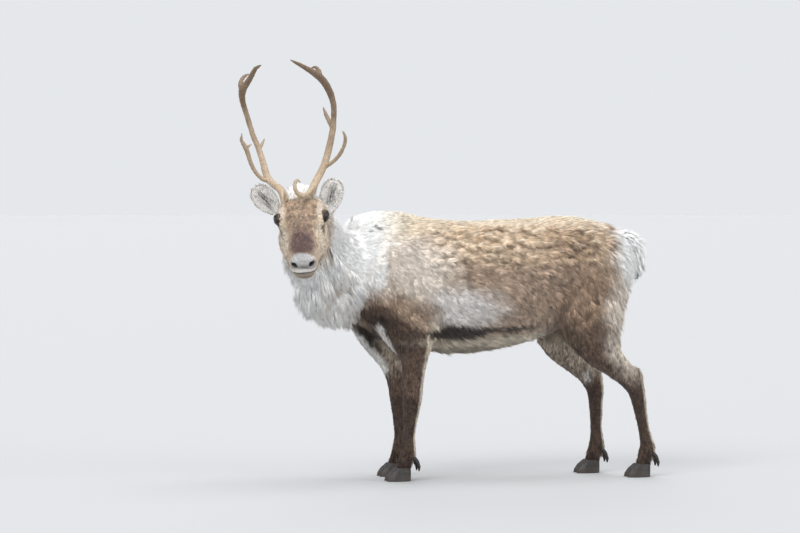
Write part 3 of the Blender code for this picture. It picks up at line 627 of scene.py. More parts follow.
def frame_at(place: Vector, *axes: Vector) -> Matrix:
    """Builds a frame from its axes.

    Args:
        place: Where its origin is.
        axes: Its three axes.

    Returns:
        The frame.
    """
    frame = Matrix(axes).transposed().to_4x4()
    frame.translation = place
    return frame


def add_tube(bm: bmesh.types.BMesh, frames: Sequence[Matrix], sides: int, closed: bool) -> None:
    """Adds a tube of rings.

    Args:
        bm: Where it is added.
        frames: The frame of each ring, scaled to its radii.
        sides: How many corners a ring has.
        closed: True if the last ring meets the first, and False if both ends are capped.
    """
    loops = []
    for frame in frames:
        made = bmesh.ops.create_circle(bm, segments=sides, radius=1.0, matrix=frame)
        ring = set(made["verts"])
        loops.append([edge for edge in bm.edges if edge.verts[0] in ring and edge.verts[1] in ring])
    for first, second in zip(loops, loops[1:] + loops[:1] if closed else loops[1:]):
        bmesh.ops.bridge_loops(bm, edges=first + second)
    if not closed:
        bmesh.ops.holes_fill(bm, edges=loops[0] + loops[-1])


def modified(mesh: bpy.types.Mesh, kind: str, **settings: Any) -> bpy.types.Mesh:
    """The mesh as one modifier leaves it.

    Args:
        mesh: What the modifier works on. It is used up.
        kind: The modifier's type.
        settings: The modifier's own settings.

    Returns:
        A new mesh with the modifier applied.
    """
    obj = as_object("work", mesh)
    modifier = obj.modifiers.new("work", kind)
    for name, setting in settings.items():
        setattr(modifier, name, setting)
    graph = bpy.context.evaluated_depsgraph_get()
    made = bpy.data.meshes.new_from_object(obj.evaluated_get(graph))
    bpy.data.objects.remove(obj)
    bpy.data.meshes.remove(mesh)
    return made


def remeshed(bm: bmesh.types.BMesh, voxel: float, rounds: int) -> bpy.types.Mesh:
    """Closed shells that touch or overlap, made one even skin.

    Args:
        bm: The shells. It is freed.
        voxel: How fine the skin is, in metres.
        rounds: How many times it is smoothed.

    Returns:
        The skin's mesh.
    """
    made = modified(as_mesh("shell", bm), "REMESH", mode="VOXEL", voxel_size=voxel, use_smooth_shade=True)
    relaxed(made, rounds)
    return made


def united(first: bpy.types.Mesh, second: bpy.types.Mesh) -> bpy.types.Mesh:
    """Fuses two closed shells into one.

    Args:
        first: One shell. It is used up.
        second: The other. It is used up.

    Returns:
        The shell round both.
    """
    other = as_object("other", second)
    made = modified(first, "BOOLEAN", operation="UNION", solver="MANIFOLD", object=other)
    bpy.data.objects.remove(other)
    bpy.data.meshes.remove(second)
    return made


def relaxed(mesh: bpy.types.Mesh, rounds: int) -> None:
    """Smooths a mesh where it is.

    Args:
        mesh: The mesh.
        rounds: How many times it is smoothed.
    """
    bm = bmesh.new()
    bm.from_mesh(mesh)
    axes = {"use_axis_" + axis: True for axis in "xyz"}
    for _ in range(rounds):
        bmesh.ops.smooth_vert(bm, verts=bm.verts[:], factor=0.5, **axes)
    bm.to_mesh(mesh)
    bm.free()


def add_solids(bm: bmesh.types.BMesh, nodes: Sequence[bpy.types.Object], grow: float) -> None:
    """Adds merged copies of solids, grown so that neighbours touch.

    Args:
        bm: Where they are added.
        nodes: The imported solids.
        grow: How far each surface moves outwards, in metres.
    """
    for node in nodes:
        part = bmesh.new()
        part.from_mesh(node.data)
        bmesh.ops.remove_doubles(part, verts=part.verts[:], dist=1e-5)
        part.normal_update()
        for vertex in part.verts:
            vertex.co += vertex.normal * grow
        mesh = as_mesh("part", part)
        bm.from_mesh(mesh)
        bpy.data.meshes.remove(mesh)


@dataclass(frozen=True)
class HeadPose:
    """Where the head sits: its own X runs forward along the face, Y to its left and Z out of the forehead."""

    poll: Vector = Vector((-0.54236, -0.07067, 1.008))
    heading: float = math.radians(-103.4)
    pitch: float = math.radians(38.0)
    roll: float = math.radians(5.0)

    def matrix(self) -> Matrix:
        """The head's frame in the part's."""
        heading = Vector((math.cos(self.heading), math.sin(self.heading), 0.0))
        up = Vector((0.0, 0.0, 1.0))
        forward = math.cos(self.pitch) * heading - math.sin(self.pitch) * up
        dorsal = math.sin(self.pitch) * heading + math.cos(self.pitch) * up
        turn = Matrix((forward, dorsal.cross(forward), dorsal)).transposed()
        frame = (Matrix.Rotation(self.roll, 3, heading) @ turn).to_4x4()
        frame.translation = self.poll
        return frame

    def local(self, points: np.ndarray) -> np.ndarray:
        """Points of the part in the head's own frame."""
        frame = self.matrix()
        return (points - np.array(frame.translation)) @ np.array(frame.to_3x3())

    def world(self, rows: np.ndarray) -> np.ndarray:
        """Directions of the head's own frame in the part's."""
        return rows @ np.array(self.matrix().to_3x3()).T


@dataclass(frozen=True)
class Neck:
    """The neck's flesh and the masses that its mane hangs from."""

    axis: Sequence[tuple] = (
        (-0.144, 0.1295, 0.752, 0.110, 0.176),
        (-0.254, 0.1255, 0.759, 0.104, 0.171),
        (-0.354, 0.1045, 0.749, 0.095, 0.127),
        (-0.436, 0.055, 0.795, 0.083, 0.112),
        (-0.490, -0.010, 0.860, 0.076, 0.100),
        (-0.526, -0.075, 0.915, 0.068, 0.088),
        (-0.542, -0.132, 0.925, 0.050, 0.066),
    )
    masses: Sequence[tuple] = (
        ((-0.514, -0.065, 0.775), (0.058, 0.065, 0.075)),
        ((-0.482, 0.005, 0.700), (0.083, 0.088, 0.125)),
        ((-0.416, 0.070, 0.650), (0.100, 0.088, 0.112)),
        ((-0.339, 0.120, 0.622), (0.072, 0.092, 0.092)),
    )
    mane_line: Sequence[tuple] = (
        (-0.530, -0.075, 0.840),
        (-0.519, -0.055, 0.790),
        (-0.482, 0.005, 0.720),
        (-0.416, 0.070, 0.680),
        (-0.334, 0.120, 0.655),
    )
    core: float = 0.66
    sides: int = 28

    def add_flesh(self, bm: bmesh.types.BMesh) -> None:
        """Adds the tube of the neck and the cores of its mane.

        Args:
            bm: Where they are added, as closed shells.
        """
        rows = self.eased(6)
        frames = []
        for i, row in enumerate(rows):
            ahead = Vector(rows[min(i + 1, len(rows) - 1)][:3] - rows[max(i - 1, 0)][:3]).normalized()
            across = Vector((0.25, 1.0, 0.0))
            across = (across - across.dot(ahead) * ahead).normalized()
            frames.append(frame_at(Vector(row[:3]), across * row[3], ahead.cross(across) * row[4], ahead))
        add_tube(bm, frames, self.sides, closed=False)
        for centre, radii in self.masses:
            size = Matrix.Diagonal([radius * self.core for radius in radii]).to_4x4()
            place = Matrix.Translation(centre) @ size
            bmesh.ops.create_icosphere(bm, subdivisions=4, radius=1.0, matrix=place)
        bmesh.ops.recalc_face_normals(bm, faces=bm.faces[:])

    def eased(self, steps: int) -> np.ndarray:
        """The axis with a curve through its keys.

        Args:
            steps: How many rows a span gets.

        Returns:
            The rows: place, half width and half height.
        """
        keys = np.array(self.axis)
        padded = np.vstack([2 * keys[0] - keys[1], keys, 2 * keys[-1] - keys[-2]])
        rows = []
        for i in range(len(keys) - 1):
            a, b, c, d = padded[i : i + 4]
            square, cube = 2 * a - 5 * b + 4 * c - d, 3 * b - a - 3 * c + d
            for t in np.arange(steps) / steps:
                rows.append(0.5 * (2 * b + (c - a) * t + square * t**2 + cube * t**3))
        return np.array(rows + [keys[-1]])


def nearest_on(line: np.ndarray, points: np.ndarray) -> tuple:
    """The nearest place on a line of points.

    Args:
        line: The line's points, in order.
        points: Where it is asked from.

    Returns:
        The place, the line's direction there, and how far along it is from 0 to 1.
    """
    best = np.full(len(points), np.inf)
    place, way, share = np.zeros_like(points), np.zeros_like(points), np.zeros(len(points))
    for i, (a, b) in enumerate(zip(line, line[1:])):
        t = np.clip((points - a) @ (b - a) / ((b - a) @ (b - a)), 0, 1)
        here = a + t[:, None] * (b - a)
        distance = np.linalg.norm(points - here, axis=1)
        closer = distance < best
        best[closer] = distance[closer]
        place[closer], way[closer] = here[closer], unit(b - a)
        share[closer] = ((i + t) / (len(line) - 1))[closer]
    return place, way, share


@dataclass(frozen=True)
class Ear:
    """One ear's cup: its root on the head, the way it points, and its size."""

    name: str
    root: Vector
    points: Vector
    length: float = 0.129
    half_width: float = 0.041
    faces: Vector = Vector((-0.20, -0.97, 0.10))

    def local(self, rows: np.ndarray, pose: HeadPose) -> np.ndarray:
        """Points as shares of the ear's length and half width from its root.

        Args:
            rows: The points.
            pose: Where the head sits.

        Returns:
            One row a point: along the ear, and across it.
        """
        along, across, _ = self.axes()
        offset = rows - np.array(pose.matrix() @ self.root)
        return np.stack([offset @ along / self.length, offset @ across / self.half_width], axis=1)

    def axes(self) -> tuple:
        """The ear's own directions: to the tip, across, and out of the cup."""
        along = np.array(self.points.normalized())
        facing = np.array(self.faces)
        facing = unit(facing - (facing @ along) * along)
        return along, np.cross(along, facing), facing


EARS = (
    Ear("ear_left", Vector((0.032, 0.083, -0.094)), Vector((0.25, 0.12, 0.96))),
    Ear("ear_right", Vector((0.028, -0.077, -0.075)), Vector((-0.66, 0.26, 0.70))),
)


class Region(IntEnum):
    """The parts of the coat that grow alike."""

    BACK = 0
    FLANK = 1
    BELLY = 2
    RUMP = 3
    NECK = 4
    THROAT = 5
    FACE = 6
    MUZZLE = 7
    CHEEK = 8
    CROWN = 9
    EAR = 10
    UPPER_LEG = 11
    CANNON = 12
    FOOT = 13
    TAIL = 14


@dataclass(frozen=True)
class Growth:
    """How the hair grows in one region. Lengths are metres, and density is tufts to the square metre."""

    base: Hair
    length: float
    width: float
    lift: float
    depth: float
    density: float
    ruffle: float = 0.16


GROWTHS = {
    Region.BACK: Growth(Hair.SAND, 0.025, 0.0042, 0.15, 0.0065, 160000, 0.22),
    Region.FLANK: Growth(Hair.GREY_BROWN, 0.026, 0.0042, 0.15, 0.0068, 150000, 0.22),
    # The belly's grey-brown is partly painted shade on the underside.
    Region.BELLY: Growth(Hair.STONE, 0.036, 0.0044, 0.22, 0.0105, 120000, 0.20),
    Region.RUMP: Growth(Hair.FAWN, 0.040, 0.0044, 0.34, 0.0040, 150000, 0.20),
    Region.NECK: Growth(Hair.SNOW, 0.030, 0.0038, 0.15, 0.0060, 150000, 0.18),
    Region.THROAT: Growth(Hair.SNOW, 0.036, 0.0040, 0.22, 0.0, 120000),
    Region.FACE: Growth(Hair.TAN, 0.0110, 0.0020, 0.16, 0.0022, 330000, 0.25),
    Region.MUZZLE: Growth(Hair.DUN, 0.0052, 0.0014, 0.14, 0.0012, 480000, 0.12),
    Region.CHEEK: Growth(Hair.DUN, 0.017, 0.0026, 0.18, 0.0036, 230000, 0.20),
    Region.CROWN: Growth(Hair.CREAM, 0.019, 0.0026, 0.38, 0.0060, 230000, 0.50),
    Region.EAR: Growth(Hair.WHITE, 0.014, 0.0020, 0.22, 0.0010, 260000, 0.30),
    Region.UPPER_LEG: Growth(Hair.UMBER, 0.018, 0.0034, 0.14, 0.0055, 130000),
    Region.CANNON: Growth(Hair.BARK, 0.012, 0.0026, 0.13, 0.0034, 190000),
    Region.FOOT: Growth(Hair.BARK, 0.028, 0.0030, 0.20, 0.0040, 220000),
    Region.TAIL: Growth(Hair.SNOW, 0.050, 0.0046, 0.40, 0.0080, 420000),
}


# The numbers of a growth that are blended over the skin.
BLENDED = ("length", "width", "lift", "depth", "density", "ruffle")


@dataclass(frozen=True)
class Patch:
    """A soft-edged area of one colour: an ellipsoid in its own coordinates."""

    hair: Hair
    centre: Sequence[float]
    radii: Sequence[float]
    strength: float = 1.0
    soft: float = 0.35

    def cover(self, points: np.ndarray) -> np.ndarray:
        """How far the patch covers each point, as a column from 0 to its strength."""
        away = reach(points, self.centre, self.radii)
        return self.strength * smoothstep((1.0 + self.soft - away) / (2.0 * self.soft))


# Places are metres: along the body, out from its middle plane, and up.
BODY_PATCHES = (
    Patch(Hair.ASH, (-0.125, 0.17, 0.74), (0.125, 0.18, 0.160), 0.95, 0.45),
    Patch(Hair.WHITE, (-0.255, 0.05, 0.89), (0.075, 0.14, 0.10), 0.85, 0.5),
    Patch(Hair.SNOW, (-0.300, 0.15, 0.790), (0.075, 0.20, 0.150), 1.0, 0.3),
    Patch(Hair.CREAM, (-0.145, 0.05, 0.885), (0.075, 0.14, 0.055), 0.7, 0.5),
    Patch(Hair.GOLD, (-0.03, 0.10, 0.865), (0.12, 0.12, 0.045), 0.35, 0.6),
    Patch(Hair.TAN, (0.24, 0.14, 0.83), (0.26, 0.18, 0.09), 0.55, 0.6),
    Patch(Hair.FAWN, (0.44, 0.15, 0.81), (0.12, 0.16, 0.07), 0.65, 0.6),
    Patch(Hair.UMBER, (0.465, 0.16, 0.800), (0.055, 0.14, 0.030), 0.40, 0.6),
    # The pale fringe above the dark band: partly its own pale hair, partly painted light along it.
    Patch(Hair.FROST, (0.03, 0.20, 0.600), (0.13, 0.13, 0.072), 0.9, 0.45),
    Patch(Hair.FAWN, (-0.17, 0.16, 0.590), (0.10, 0.13, 0.055), 0.75, 0.5),
    Patch(Hair.BARK, (-0.29, 0.13, 0.590), (0.075, 0.13, 0.038), 0.95, 0.35),
    Patch(Hair.BARK, (-0.225, 0.15, 0.545), (0.070, 0.13, 0.045), 0.95, 0.35),
    Patch(Hair.PEAT, (-0.255, 0.14, 0.555), (0.040, 0.12, 0.022), 0.7, 0.5),
    Patch(Hair.BARK, (-0.165, 0.16, 0.500), (0.060, 0.13, 0.060), 0.9, 0.35),
    # A painted highlight behind the elbow.
    Patch(Hair.CREAM, (-0.074, 0.17, 0.525), (0.018, 0.10, 0.055), 0.75, 0.4),
    Patch(Hair.CREAM, (0.16, 0.10, 0.484), (0.30, 0.14, 0.022), 0.6, 0.4),
    Patch(Hair.PEAT, (0.005, 0.16, 0.527), (0.11, 0.10, 0.0165), 0.95, 0.3),
    Patch(Hair.PEAT, (0.16, 0.16, 0.530), (0.15, 0.10, 0.010), 0.85, 0.35),
    # Painted shade in the fold in front of the thigh.
    Patch(Hair.UMBER, (0.395, 0.19, 0.58), (0.022, 0.10, 0.085), 0.85, 0.5),
    Patch(Hair.FAWN, (0.49, 0.18, 0.62), (0.13, 0.16, 0.12), 0.7, 0.6),
    Patch(Hair.UMBER, (0.49, 0.18, 0.49), (0.14, 0.14, 0.08), 0.9, 0.5),
    Patch(Hair.ASH, (0.645, 0.12, 0.60), (0.098, 0.20, 0.23), 0.92, 0.35),
    Patch(Hair.SNOW, (0.655, 0.0, 0.785), (0.098, 0.22, 0.115), 1.0, 0.35),
)

# Places are metres in the head's own frame: ahead of the poll, out from the middle, and up from it.
HEAD_PATCHES = (
    Patch(Hair.DUN, (0.17, 0.078, -0.08), (0.13, 0.034, 0.08), 0.9, 0.4),
    Patch(Hair.CREAM, (0.205, 0.074, -0.055), (0.115, 0.026, 0.060), 0.5, 0.5),
    Patch(Hair.UMBER, (0.125, 0.040, 0.0), (0.036, 0.014, 0.03), 0.55, 0.5),
    Patch(Hair.ASH, (0.098, 0.066, -0.010), (0.036, 0.012, 0.014), 0.6),
    Patch(Hair.ASH, (0.130, 0.072, -0.062), (0.030, 0.020, 0.014), 0.6),
    Patch(Hair.TAN, (0.10, 0.0, 0.01), (0.09, 0.048, 0.04), 0.7, 0.5),
    Patch(Hair.UMBER, (0.210, 0.0, 0.0), (0.065, 0.038, 0.04), 0.75, 0.6),
    Patch(Hair.MUZZLE, (0.268, 0.0, -0.010), (0.056, 0.052, 0.040), 1.0, 0.35),
    Patch(Hair.SMOKE, (0.342, 0.0, -0.040), (0.036, 0.041, 0.034), 1.0, 0.16),
    Patch(Hair.UMBER, (0.352, 0.0, -0.062), (0.018, 0.018, 0.014), 0.6, 0.5),
    Patch(Hair.WHITE, (0.335, 0.0, -0.076), (0.050, 0.050, 0.012), 0.8, 0.4),
    # The chin's grey-brown is partly painted shade under the jaw.
    Patch(Hair.STONE, (0.28, 0.0, -0.125), (0.10, 0.06, 0.036), 0.95, 0.3),
    Patch(Hair.UMBER, (0.152, 0.070, -0.052), (0.026, 0.012, 0.013), 0.85, 0.4),
    Patch(Hair.SNOW, (-0.005, 0.0, 0.0), (0.042, 0.070, 0.040), 0.9, 0.4),
)


# The way the hair lies at places on the trunk, along the body, out from its middle plane, and up.
LIE_ANCHORS = (
    ((-0.15, 0.05, 0.93), (1.0, 0.05, -0.10)),
    ((0.30, 0.05, 0.90), (1.0, 0.05, -0.10)),
    ((0.55, 0.05, 0.88), (0.9, 0.05, -0.35)),
    ((-0.20, 0.18, 0.75), (0.65, 0.0, -0.60)),
    ((-0.12, 0.16, 0.60), (0.45, 0.0, -0.90)),
    ((0.10, 0.20, 0.70), (0.85, 0.0, -0.45)),
    ((0.10, 0.18, 0.55), (0.85, 0.0, -0.50)),
    ((0.35, 0.20, 0.70), (0.75, 0.0, -0.55)),
    ((0.38, 0.17, 0.55), (0.25, 0.0, -0.95)),
    ((0.10, 0.05, 0.44), (0.95, -0.1, -0.1)),
    ((0.52, 0.18, 0.70), (0.40, 0.0, -0.90)),
    ((0.64, 0.05, 0.75), (0.30, 0.0, -1.0)),
    ((0.60, 0.12, 0.50), (0.20, 0.0, -1.0)),
    ((-0.28, 0.05, 0.56), (0.55, 0.0, -0.70)),
    ((-0.12, 0.13, 0.40), (0.10, 0.0, -1.0)),
)


@dataclass
class Skin:
    """The one closed skin under the coat, with everything that the hair needs to know at its points."""

    frame: dict
    pose: HeadPose
    neck: Neck
    body_voxel: float = 0.0054
    head_voxel: float = 0.0026
    overlap: float = 0.0009
    middle: float = 0.12933
    eye_place: Sequence[float] = (0.112, 0.0715, -0.031)
    eye_radius: float = 0.0205
    eye_opening: Sequence[float] = (0.80, 0.56)
    lid: float = 0.0020
    lid_swell: float = 0.0016
    eye_hollow: float = 0.0030
    eye_zone: float = 0.030
    mouth: Sequence[float] = (0.283, 0.0, -0.084)
    mouth_turn: float = math.radians(118.0)
    lip_groove: Sequence[float] = (0.0042, 0.0032)
    lip_roll: Sequence[float] = (0.0010, 0.008, 0.004)
    nostril: Sequence[float] = (0.337, 0.0285, -0.047)
    nostril_slant: Sequence[float] = (0.75, 0.66)
    nostril_depth: float = 0.006
    lump_seed: int = 23
    lump_tries: int = 900
    lump_gap: float = 0.043
    mesh: Any = None
    arrays: dict = field(default_factory=dict)

    def flesh_nodes(self, head: bool) -> list:
        """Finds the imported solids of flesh.

        Args:
            head: True for those of the head, and False for the rest but the neck.

        Returns:
            The solids.
        """
        words = ("head", "ear_") if head else ("torso", "tail", "_forearm", "_gaskin", "_cannon")
        nodes = self.frame["nodes"]
        return [nodes[name] for name in sorted(nodes) if any(word in name for word in words)]

    def names(self) -> list:
        """The names of all the solids of flesh, with the neck as the last."""
        return sorted(node.name for node in self.flesh_nodes(True) + self.flesh_nodes(False)) + ["neck"]

    def build(self) -> bpy.types.Object:
        """Makes the skin, finds its coat's depth, lie and markings, and dresses it.

        Returns:
            The skin's object, in place of every solid of flesh.
        """
        body, head = bmesh.new(), bmesh.new()
        add_solids(body, self.flesh_nodes(False), self.overlap)
        self.neck.add_flesh(body)
        add_solids(head, self.flesh_nodes(True), self.overlap / 3)
        low = remeshed(body, self.body_voxel, 8)
        high = remeshed(head, self.head_voxel, 4)
        self.mesh = united(low, high)
        relaxed(self.mesh, 2)
        self.mesh = modified(self.mesh, "TRIANGULATE")
        self.measure()
        self.find_owners()
        self.find_regions()
        self.blend_growths()
        self.shape()
        self.measure()
        self.mark()
        self.arrays["lie"] = self.lie()
        obj = as_object("skin", self.mesh)
        self.unwrap(obj)
        # The skin between the tufts gets painted shade: the coat's colour darkened as it looks under the
        # hair.
        coloured(self.mesh, with_painted_depth_shade(self.arrays["colour"], 0.58))
        covered(self.mesh, SkinFinish("skin").material())
        flesh = [node.name for node in self.flesh_nodes(True) + self.flesh_nodes(False)]
        return shown(obj, ["neck", *flesh])

    def measure(self) -> None:
        """Reads the mesh's points, normals, edges and triangles."""
        mesh, arrays = self.mesh, self.arrays
        arrays["points"] = read(mesh.vertices, "co", 3).astype(float)
        arrays["normals"] = read(mesh.vertex_normals, "vector", 3).astype(float)
        arrays["edges"] = read(mesh.edges, "vertices", 2, np.int32)
        arrays["triangles"] = read(mesh.polygons, "vertices", 3, np.int32)

    def spread(self, values: np.ndarray, rounds: int) -> np.ndarray:
        """Values at the points, evened out with their neighbours'.

        Args:
            values: One row a point.
            rounds: How many times each is averaged.

        Returns:
            The evened values.
        """
        first, second = self.arrays["edges"].T
        count = len(values)
        near = np.bincount(first, minlength=count) + np.bincount(second, minlength=count)
        values = values.reshape(count, -1).astype(float)
        for _ in range(rounds):
            total = np.zeros_like(values)
            for column in range(values.shape[1]):
                total[:, column] = np.bincount(first, values[second, column], count)
                total[:, column] += np.bincount(second, values[first, column], count)
            values = 0.4 * values + 0.6 * total / near[:, None]
        return values

    def on(self, *words: str) -> np.ndarray:
        """Which points belong to the solids with one of these words in their names."""
        chosen = [i for i, name in enumerate(self.names()) if any(word in name for word in words)]
        return np.isin(self.arrays["owner"], chosen)

    def within(self, rounds: int, *kinds: Region) -> np.ndarray:
        """How far each point is in these regions, evened out, as a column."""
        return self.spread(np.isin(self.arrays["region"], kinds), rounds)

    def folded(self, points: np.ndarray) -> np.ndarray:
        """Points with their distance from the middle plane in place of their Y."""
        return np.stack([points[:, 0], np.abs(points[:, 1] - self.middle), points[:, 2]], axis=1)

    def find_owners(self) -> None:
        """Tells each point which solid it was made from."""
        places, owners = [], []
        for index, name in enumerate(self.names()):
            corners = read(self.frame["nodes"][name].data.vertices, "co", 3).reshape(-1, 3, 3)
            middles = (corners + np.roll(corners, 1, 1)).reshape(-1, 3) / 2
            places.append(np.vstack([corners.reshape(-1, 3), corners.mean(1), middles]))
            owners.append(np.full(len(places[-1]), index))
        found = nearest(np.vstack(places), self.arrays["points"])
        self.arrays["owner"] = np.concatenate(owners)[found]

    def find_regions(self) -> None:
        """Tells each point its region, by its solid and its place on it."""
        points = self.arrays["points"]
        x, z, slope = points[:, 0], points[:, 2], self.arrays["normals"][:, 2]
        ahead, out, up = self.pose.local(points).T
        torso, neck, head, cannon = self.on("torso"), self.on("neck"), self.on("head"), self.on("_cannon")
        elbow = (np.abs(x + 0.155) < 0.085) & (z < 0.53) & (np.abs(points[:, 1] - self.middle) > 0.055)
        place, way, _ = nearest_on(np.array(self.neck.axis)[:, :3], points)
        below = dot(points - place, np.array([[0.0, 0.0, 1.0]]) - way * way[:, 2:3])[:, 0] < -0.028
        nape = (ahead < 0.055) | (np.abs(out) > 0.084) & (ahead < 0.12)
        rules = (
            (torso & (z > 0.76), Region.BACK),
            (torso & (slope < -0.25) & (z < 0.50) & (x > -0.07), Region.BELLY),
            (torso & (x > 0.56) & (z > 0.48), Region.RUMP),
            (torso & elbow, Region.UPPER_LEG),
            (neck, Region.NECK),
            (neck & below, Region.THROAT),
            (head, Region.FACE),
            (head & (up < -0.075) & (ahead < 0.24), Region.CHEEK),
            (head & (up < -0.100), Region.CHEEK),
            (head & (ahead > 0.285), Region.MUZZLE),
            (head & (ahead < 0.040) & (up > -0.045), Region.CROWN),
            (head & nape & (up <= -0.045), Region.NECK),
            (head & (ahead < -0.025), Region.NECK),
            (self.on("ear_"), Region.EAR),
            (self.on("_forearm", "_gaskin"), Region.UPPER_LEG),
            (cannon, Region.CANNON),
            (cannon & (z < 0.11), Region.FOOT),
            (self.on("tail"), Region.TAIL),
        )
        region = np.full(len(points), Region.FLANK)
        for mask, kind in rules:
            region[mask] = kind
        self.arrays["region"] = region

    def blend_growths(self) -> None:
        """Blends the growths over the skin, with ruffled hair on the brow and short hair by eyes and ears."""
        points, region = self.arrays["points"], self.arrays["region"]
        ahead, out, _ = self.pose.local(points).T
        table = np.array([[getattr(GROWTHS[kind], key) for key in BLENDED] for kind in Region])[region]
        brow = (region == Region.FACE) & (ahead < 0.135) & (np.abs(out) < 0.05)
        table[brow, BLENDED.index("ruffle")] = 0.75
        table[brow, BLENDED.index("lift")] = 0.26
        for ear in EARS:
            behind = self.on(ear.name) & (self.arrays["normals"] @ ear.axes()[2] < 0.15)
            table[behind, :2] *= np.array([0.45, 0.8])
        for side in SIDES:
            close = self.round_eye(side, points)[1] < self.eye_radius + 0.009
            table[close, :3] *= np.array([0.60, 0.85, 0.6])
        self.arrays["growth"] = self.spread(table, 26)

    def growth(self, key: str) -> np.ndarray:
        """One blended number of the coat at each point."""
        return self.arrays["growth"][:, BLENDED.index(key)]

    def shape(self) -> None:
        """Sinks the skin under its coat and gives the head and back their finer forms."""
        points, normals = self.arrays["points"], self.arrays["normals"]
        moved = points - normals * self.growth("depth")[:, None]
        moved += normals * self.back_lumps(points)[:, None]
        moved = self.carve_mouth(moved, normals)
        move(self.mesh, self.fit_lids(moved))

    def back_lumps(self, points: np.ndarray) -> np.ndarray:
        """The small oblong lumps of the moulting back. Keeps a painted shadow under each and a painted
        highlight along its top.

        Args:
            points: The skin's points.

        Returns:
            The height at each.
        """
        draw = np.random.default_rng(self.lump_seed)
        height, shade = np.zeros(len(points)), np.ones(len(points))
        for side in (-1, 1):
            placed: list = []
            for _ in range(self.lump_tries):
                x, z = draw.uniform(-0.06, 0.51), draw.uniform(0.715, 0.875)
                crowded = any(math.hypot(x - a, (z - b) * 1.4) < self.lump_gap for a, b in placed)
                if crowded or z < 0.75 and not 0.10 < x < 0.34:
                    continue
                placed.append((x, z))
                long, high = draw.uniform(0.013, 0.022), draw.uniform(0.0070, 0.0100)
                tilt = draw.uniform(-0.6, 0.2)
                near = (np.abs(points[:, 0] - x) < 0.06) & (np.abs(points[:, 2] - z) < 0.05)
                near &= (points[:, 1] - self.middle) * side > 0.02
                dx, dz = points[near, 0] - x, points[near, 2] - z
                along = (dx * math.cos(tilt) + dz * math.sin(tilt)) / long
                across = (dz * math.cos(tilt) - dx * math.sin(tilt)) / high
                lump = np.exp(-(along**4) - np.abs(across) ** 3)
                rise = draw.uniform(0.0050, 0.0100)
                height[near] = np.maximum(height[near], rise * lump)
                # Painted shadow under each lump's lower edge, and a painted highlight along its top.
                under = np.exp(-((across + 1.10) ** 2) / 0.16 - (along / 1.1) ** 4)
                painted_crest_highlight = np.exp(-((across - 0.2) ** 2) / 0.5 - along**4)
                shade[near] *= 1.0 - 0.52 * under + 0.16 * painted_crest_highlight
        self.arrays["lump_shade"] = np.clip(shade, 0.4, 1.2)[:, None]
        return height

    def mouth_line(self) -> np.ndarray:
        """Finds the line between the lips on the skin.

        Returns:
            Its points from one corner to the other, in the head's own frame.
        """
        local = self.pose.local(self.arrays["points"])
        line = []
        for share in np.linspace(-1.0, 1.0, 41):
            way = np.array([math.cos(share * self.mouth_turn), math.sin(share * self.mouth_turn)])
            low = self.mouth[2] - 0.006 * share**2
            flat = local[:, :2] - np.array(self.mouth[:2])
            aside = np.abs(flat @ np.array([-way[1], way[0]]))
            fits = (aside < 0.004) & (np.abs(local[:, 2] - low) < 0.004) & (flat @ way > 0)
            reach = (flat @ way)[fits].mean() if fits.any() else 0.03
            line.append([self.mouth[0] + way[0] * reach, way[1] * reach, low])
        return np.array(line)

    def nostril_reach(self, side: int, local: np.ndarray, radii: Sequence[float]) -> np.ndarray:
        """How far out of a nostril's slanted oval each point is.

        Args:
            side: Which nostril, 1 or -1.
            local: The points in the head's own frame.
            radii: The oval's radii.

        Returns:
            For each point, its distance as a share of the oval's.
        """
        ahead, out, up = (local - np.array(self.nostril) * np.array([1, side, 1])).T
        level, slope = self.nostril_slant
        long, thin = out * level + side * up * slope, up * level - side * out * slope
        return np.sqrt((ahead / radii[0]) ** 2 + (long / radii[1]) ** 2 + (thin / radii[2]) ** 2)

    def carve_mouth(self, points: np.ndarray, normals: np.ndarray) -> np.ndarray:
        """Draws the line of the mouth in, with the lips rolled out beside it, and opens the nostrils.

        Args:
            points: The skin's points.
            normals: Its normals.

        Returns:
            The moved points.
        """
        local = self.pose.local(points)
        away = np.linalg.norm(local - nearest_on(self.mouth_line(), local)[0], axis=1)
        self.arrays["mouth"] = away
        depth, wide = self.lip_groove
        height, aside, soft = self.lip_roll
        rise = height * np.exp(-(((away - aside) / soft) ** 2)) - depth * np.exp(-((away / wide) ** 2))
        for side in SIDES:
            pit = self.nostril_reach(side, local, (0.016, 0.0095, 0.0055))
            rise -= self.nostril_depth * smoothstep(1.35 - pit)
        return points + normals * rise[:, None]

    def eye_axes(self, side: int) -> tuple:
        """An eye's place and directions in the part.

        Args:
            side: Which eye, 1 or -1.

        Returns:
            Its centre, and the ways along its slit, up, and outwards.
        """
        frame = self.pose.matrix()
        turn = frame.to_3x3()
        outward = (turn @ Vector((0.68, side * 0.72, 0.12))).normalized()
        along = (turn @ Vector((0.70, -side * 0.66, -0.28))).normalized()
        up = outward.cross(along).normalized()
        if up.dot(turn @ Vector((0.0, 0.0, 1.0))) < 0:
            up = -up
        place = Vector((self.eye_place[0], side * self.eye_place[1], self.eye_place[2]))
        return frame @ place, along, up, outward

    def round_eye(self, side: int, points: np.ndarray) -> tuple:
        """How points lie round an eye.

        Args:
            side: Which eye, 1 or -1.
            points: The points.

        Returns:
            Each point's direction from the eye's centre, its distance, how far out of the opening
            it is with 1 at the edge, and how squarely it is in front.
        """
        centre, along, up, outward = (np.array(v) for v in self.eye_axes(side))
        way = unit(points - centre)
        slit = np.sqrt((way @ along / self.eye_opening[0]) ** 2 + (way @ up / self.eye_opening[1]) ** 2)
        return way, np.linalg.norm(points - centre, axis=1), slit, way @ outward

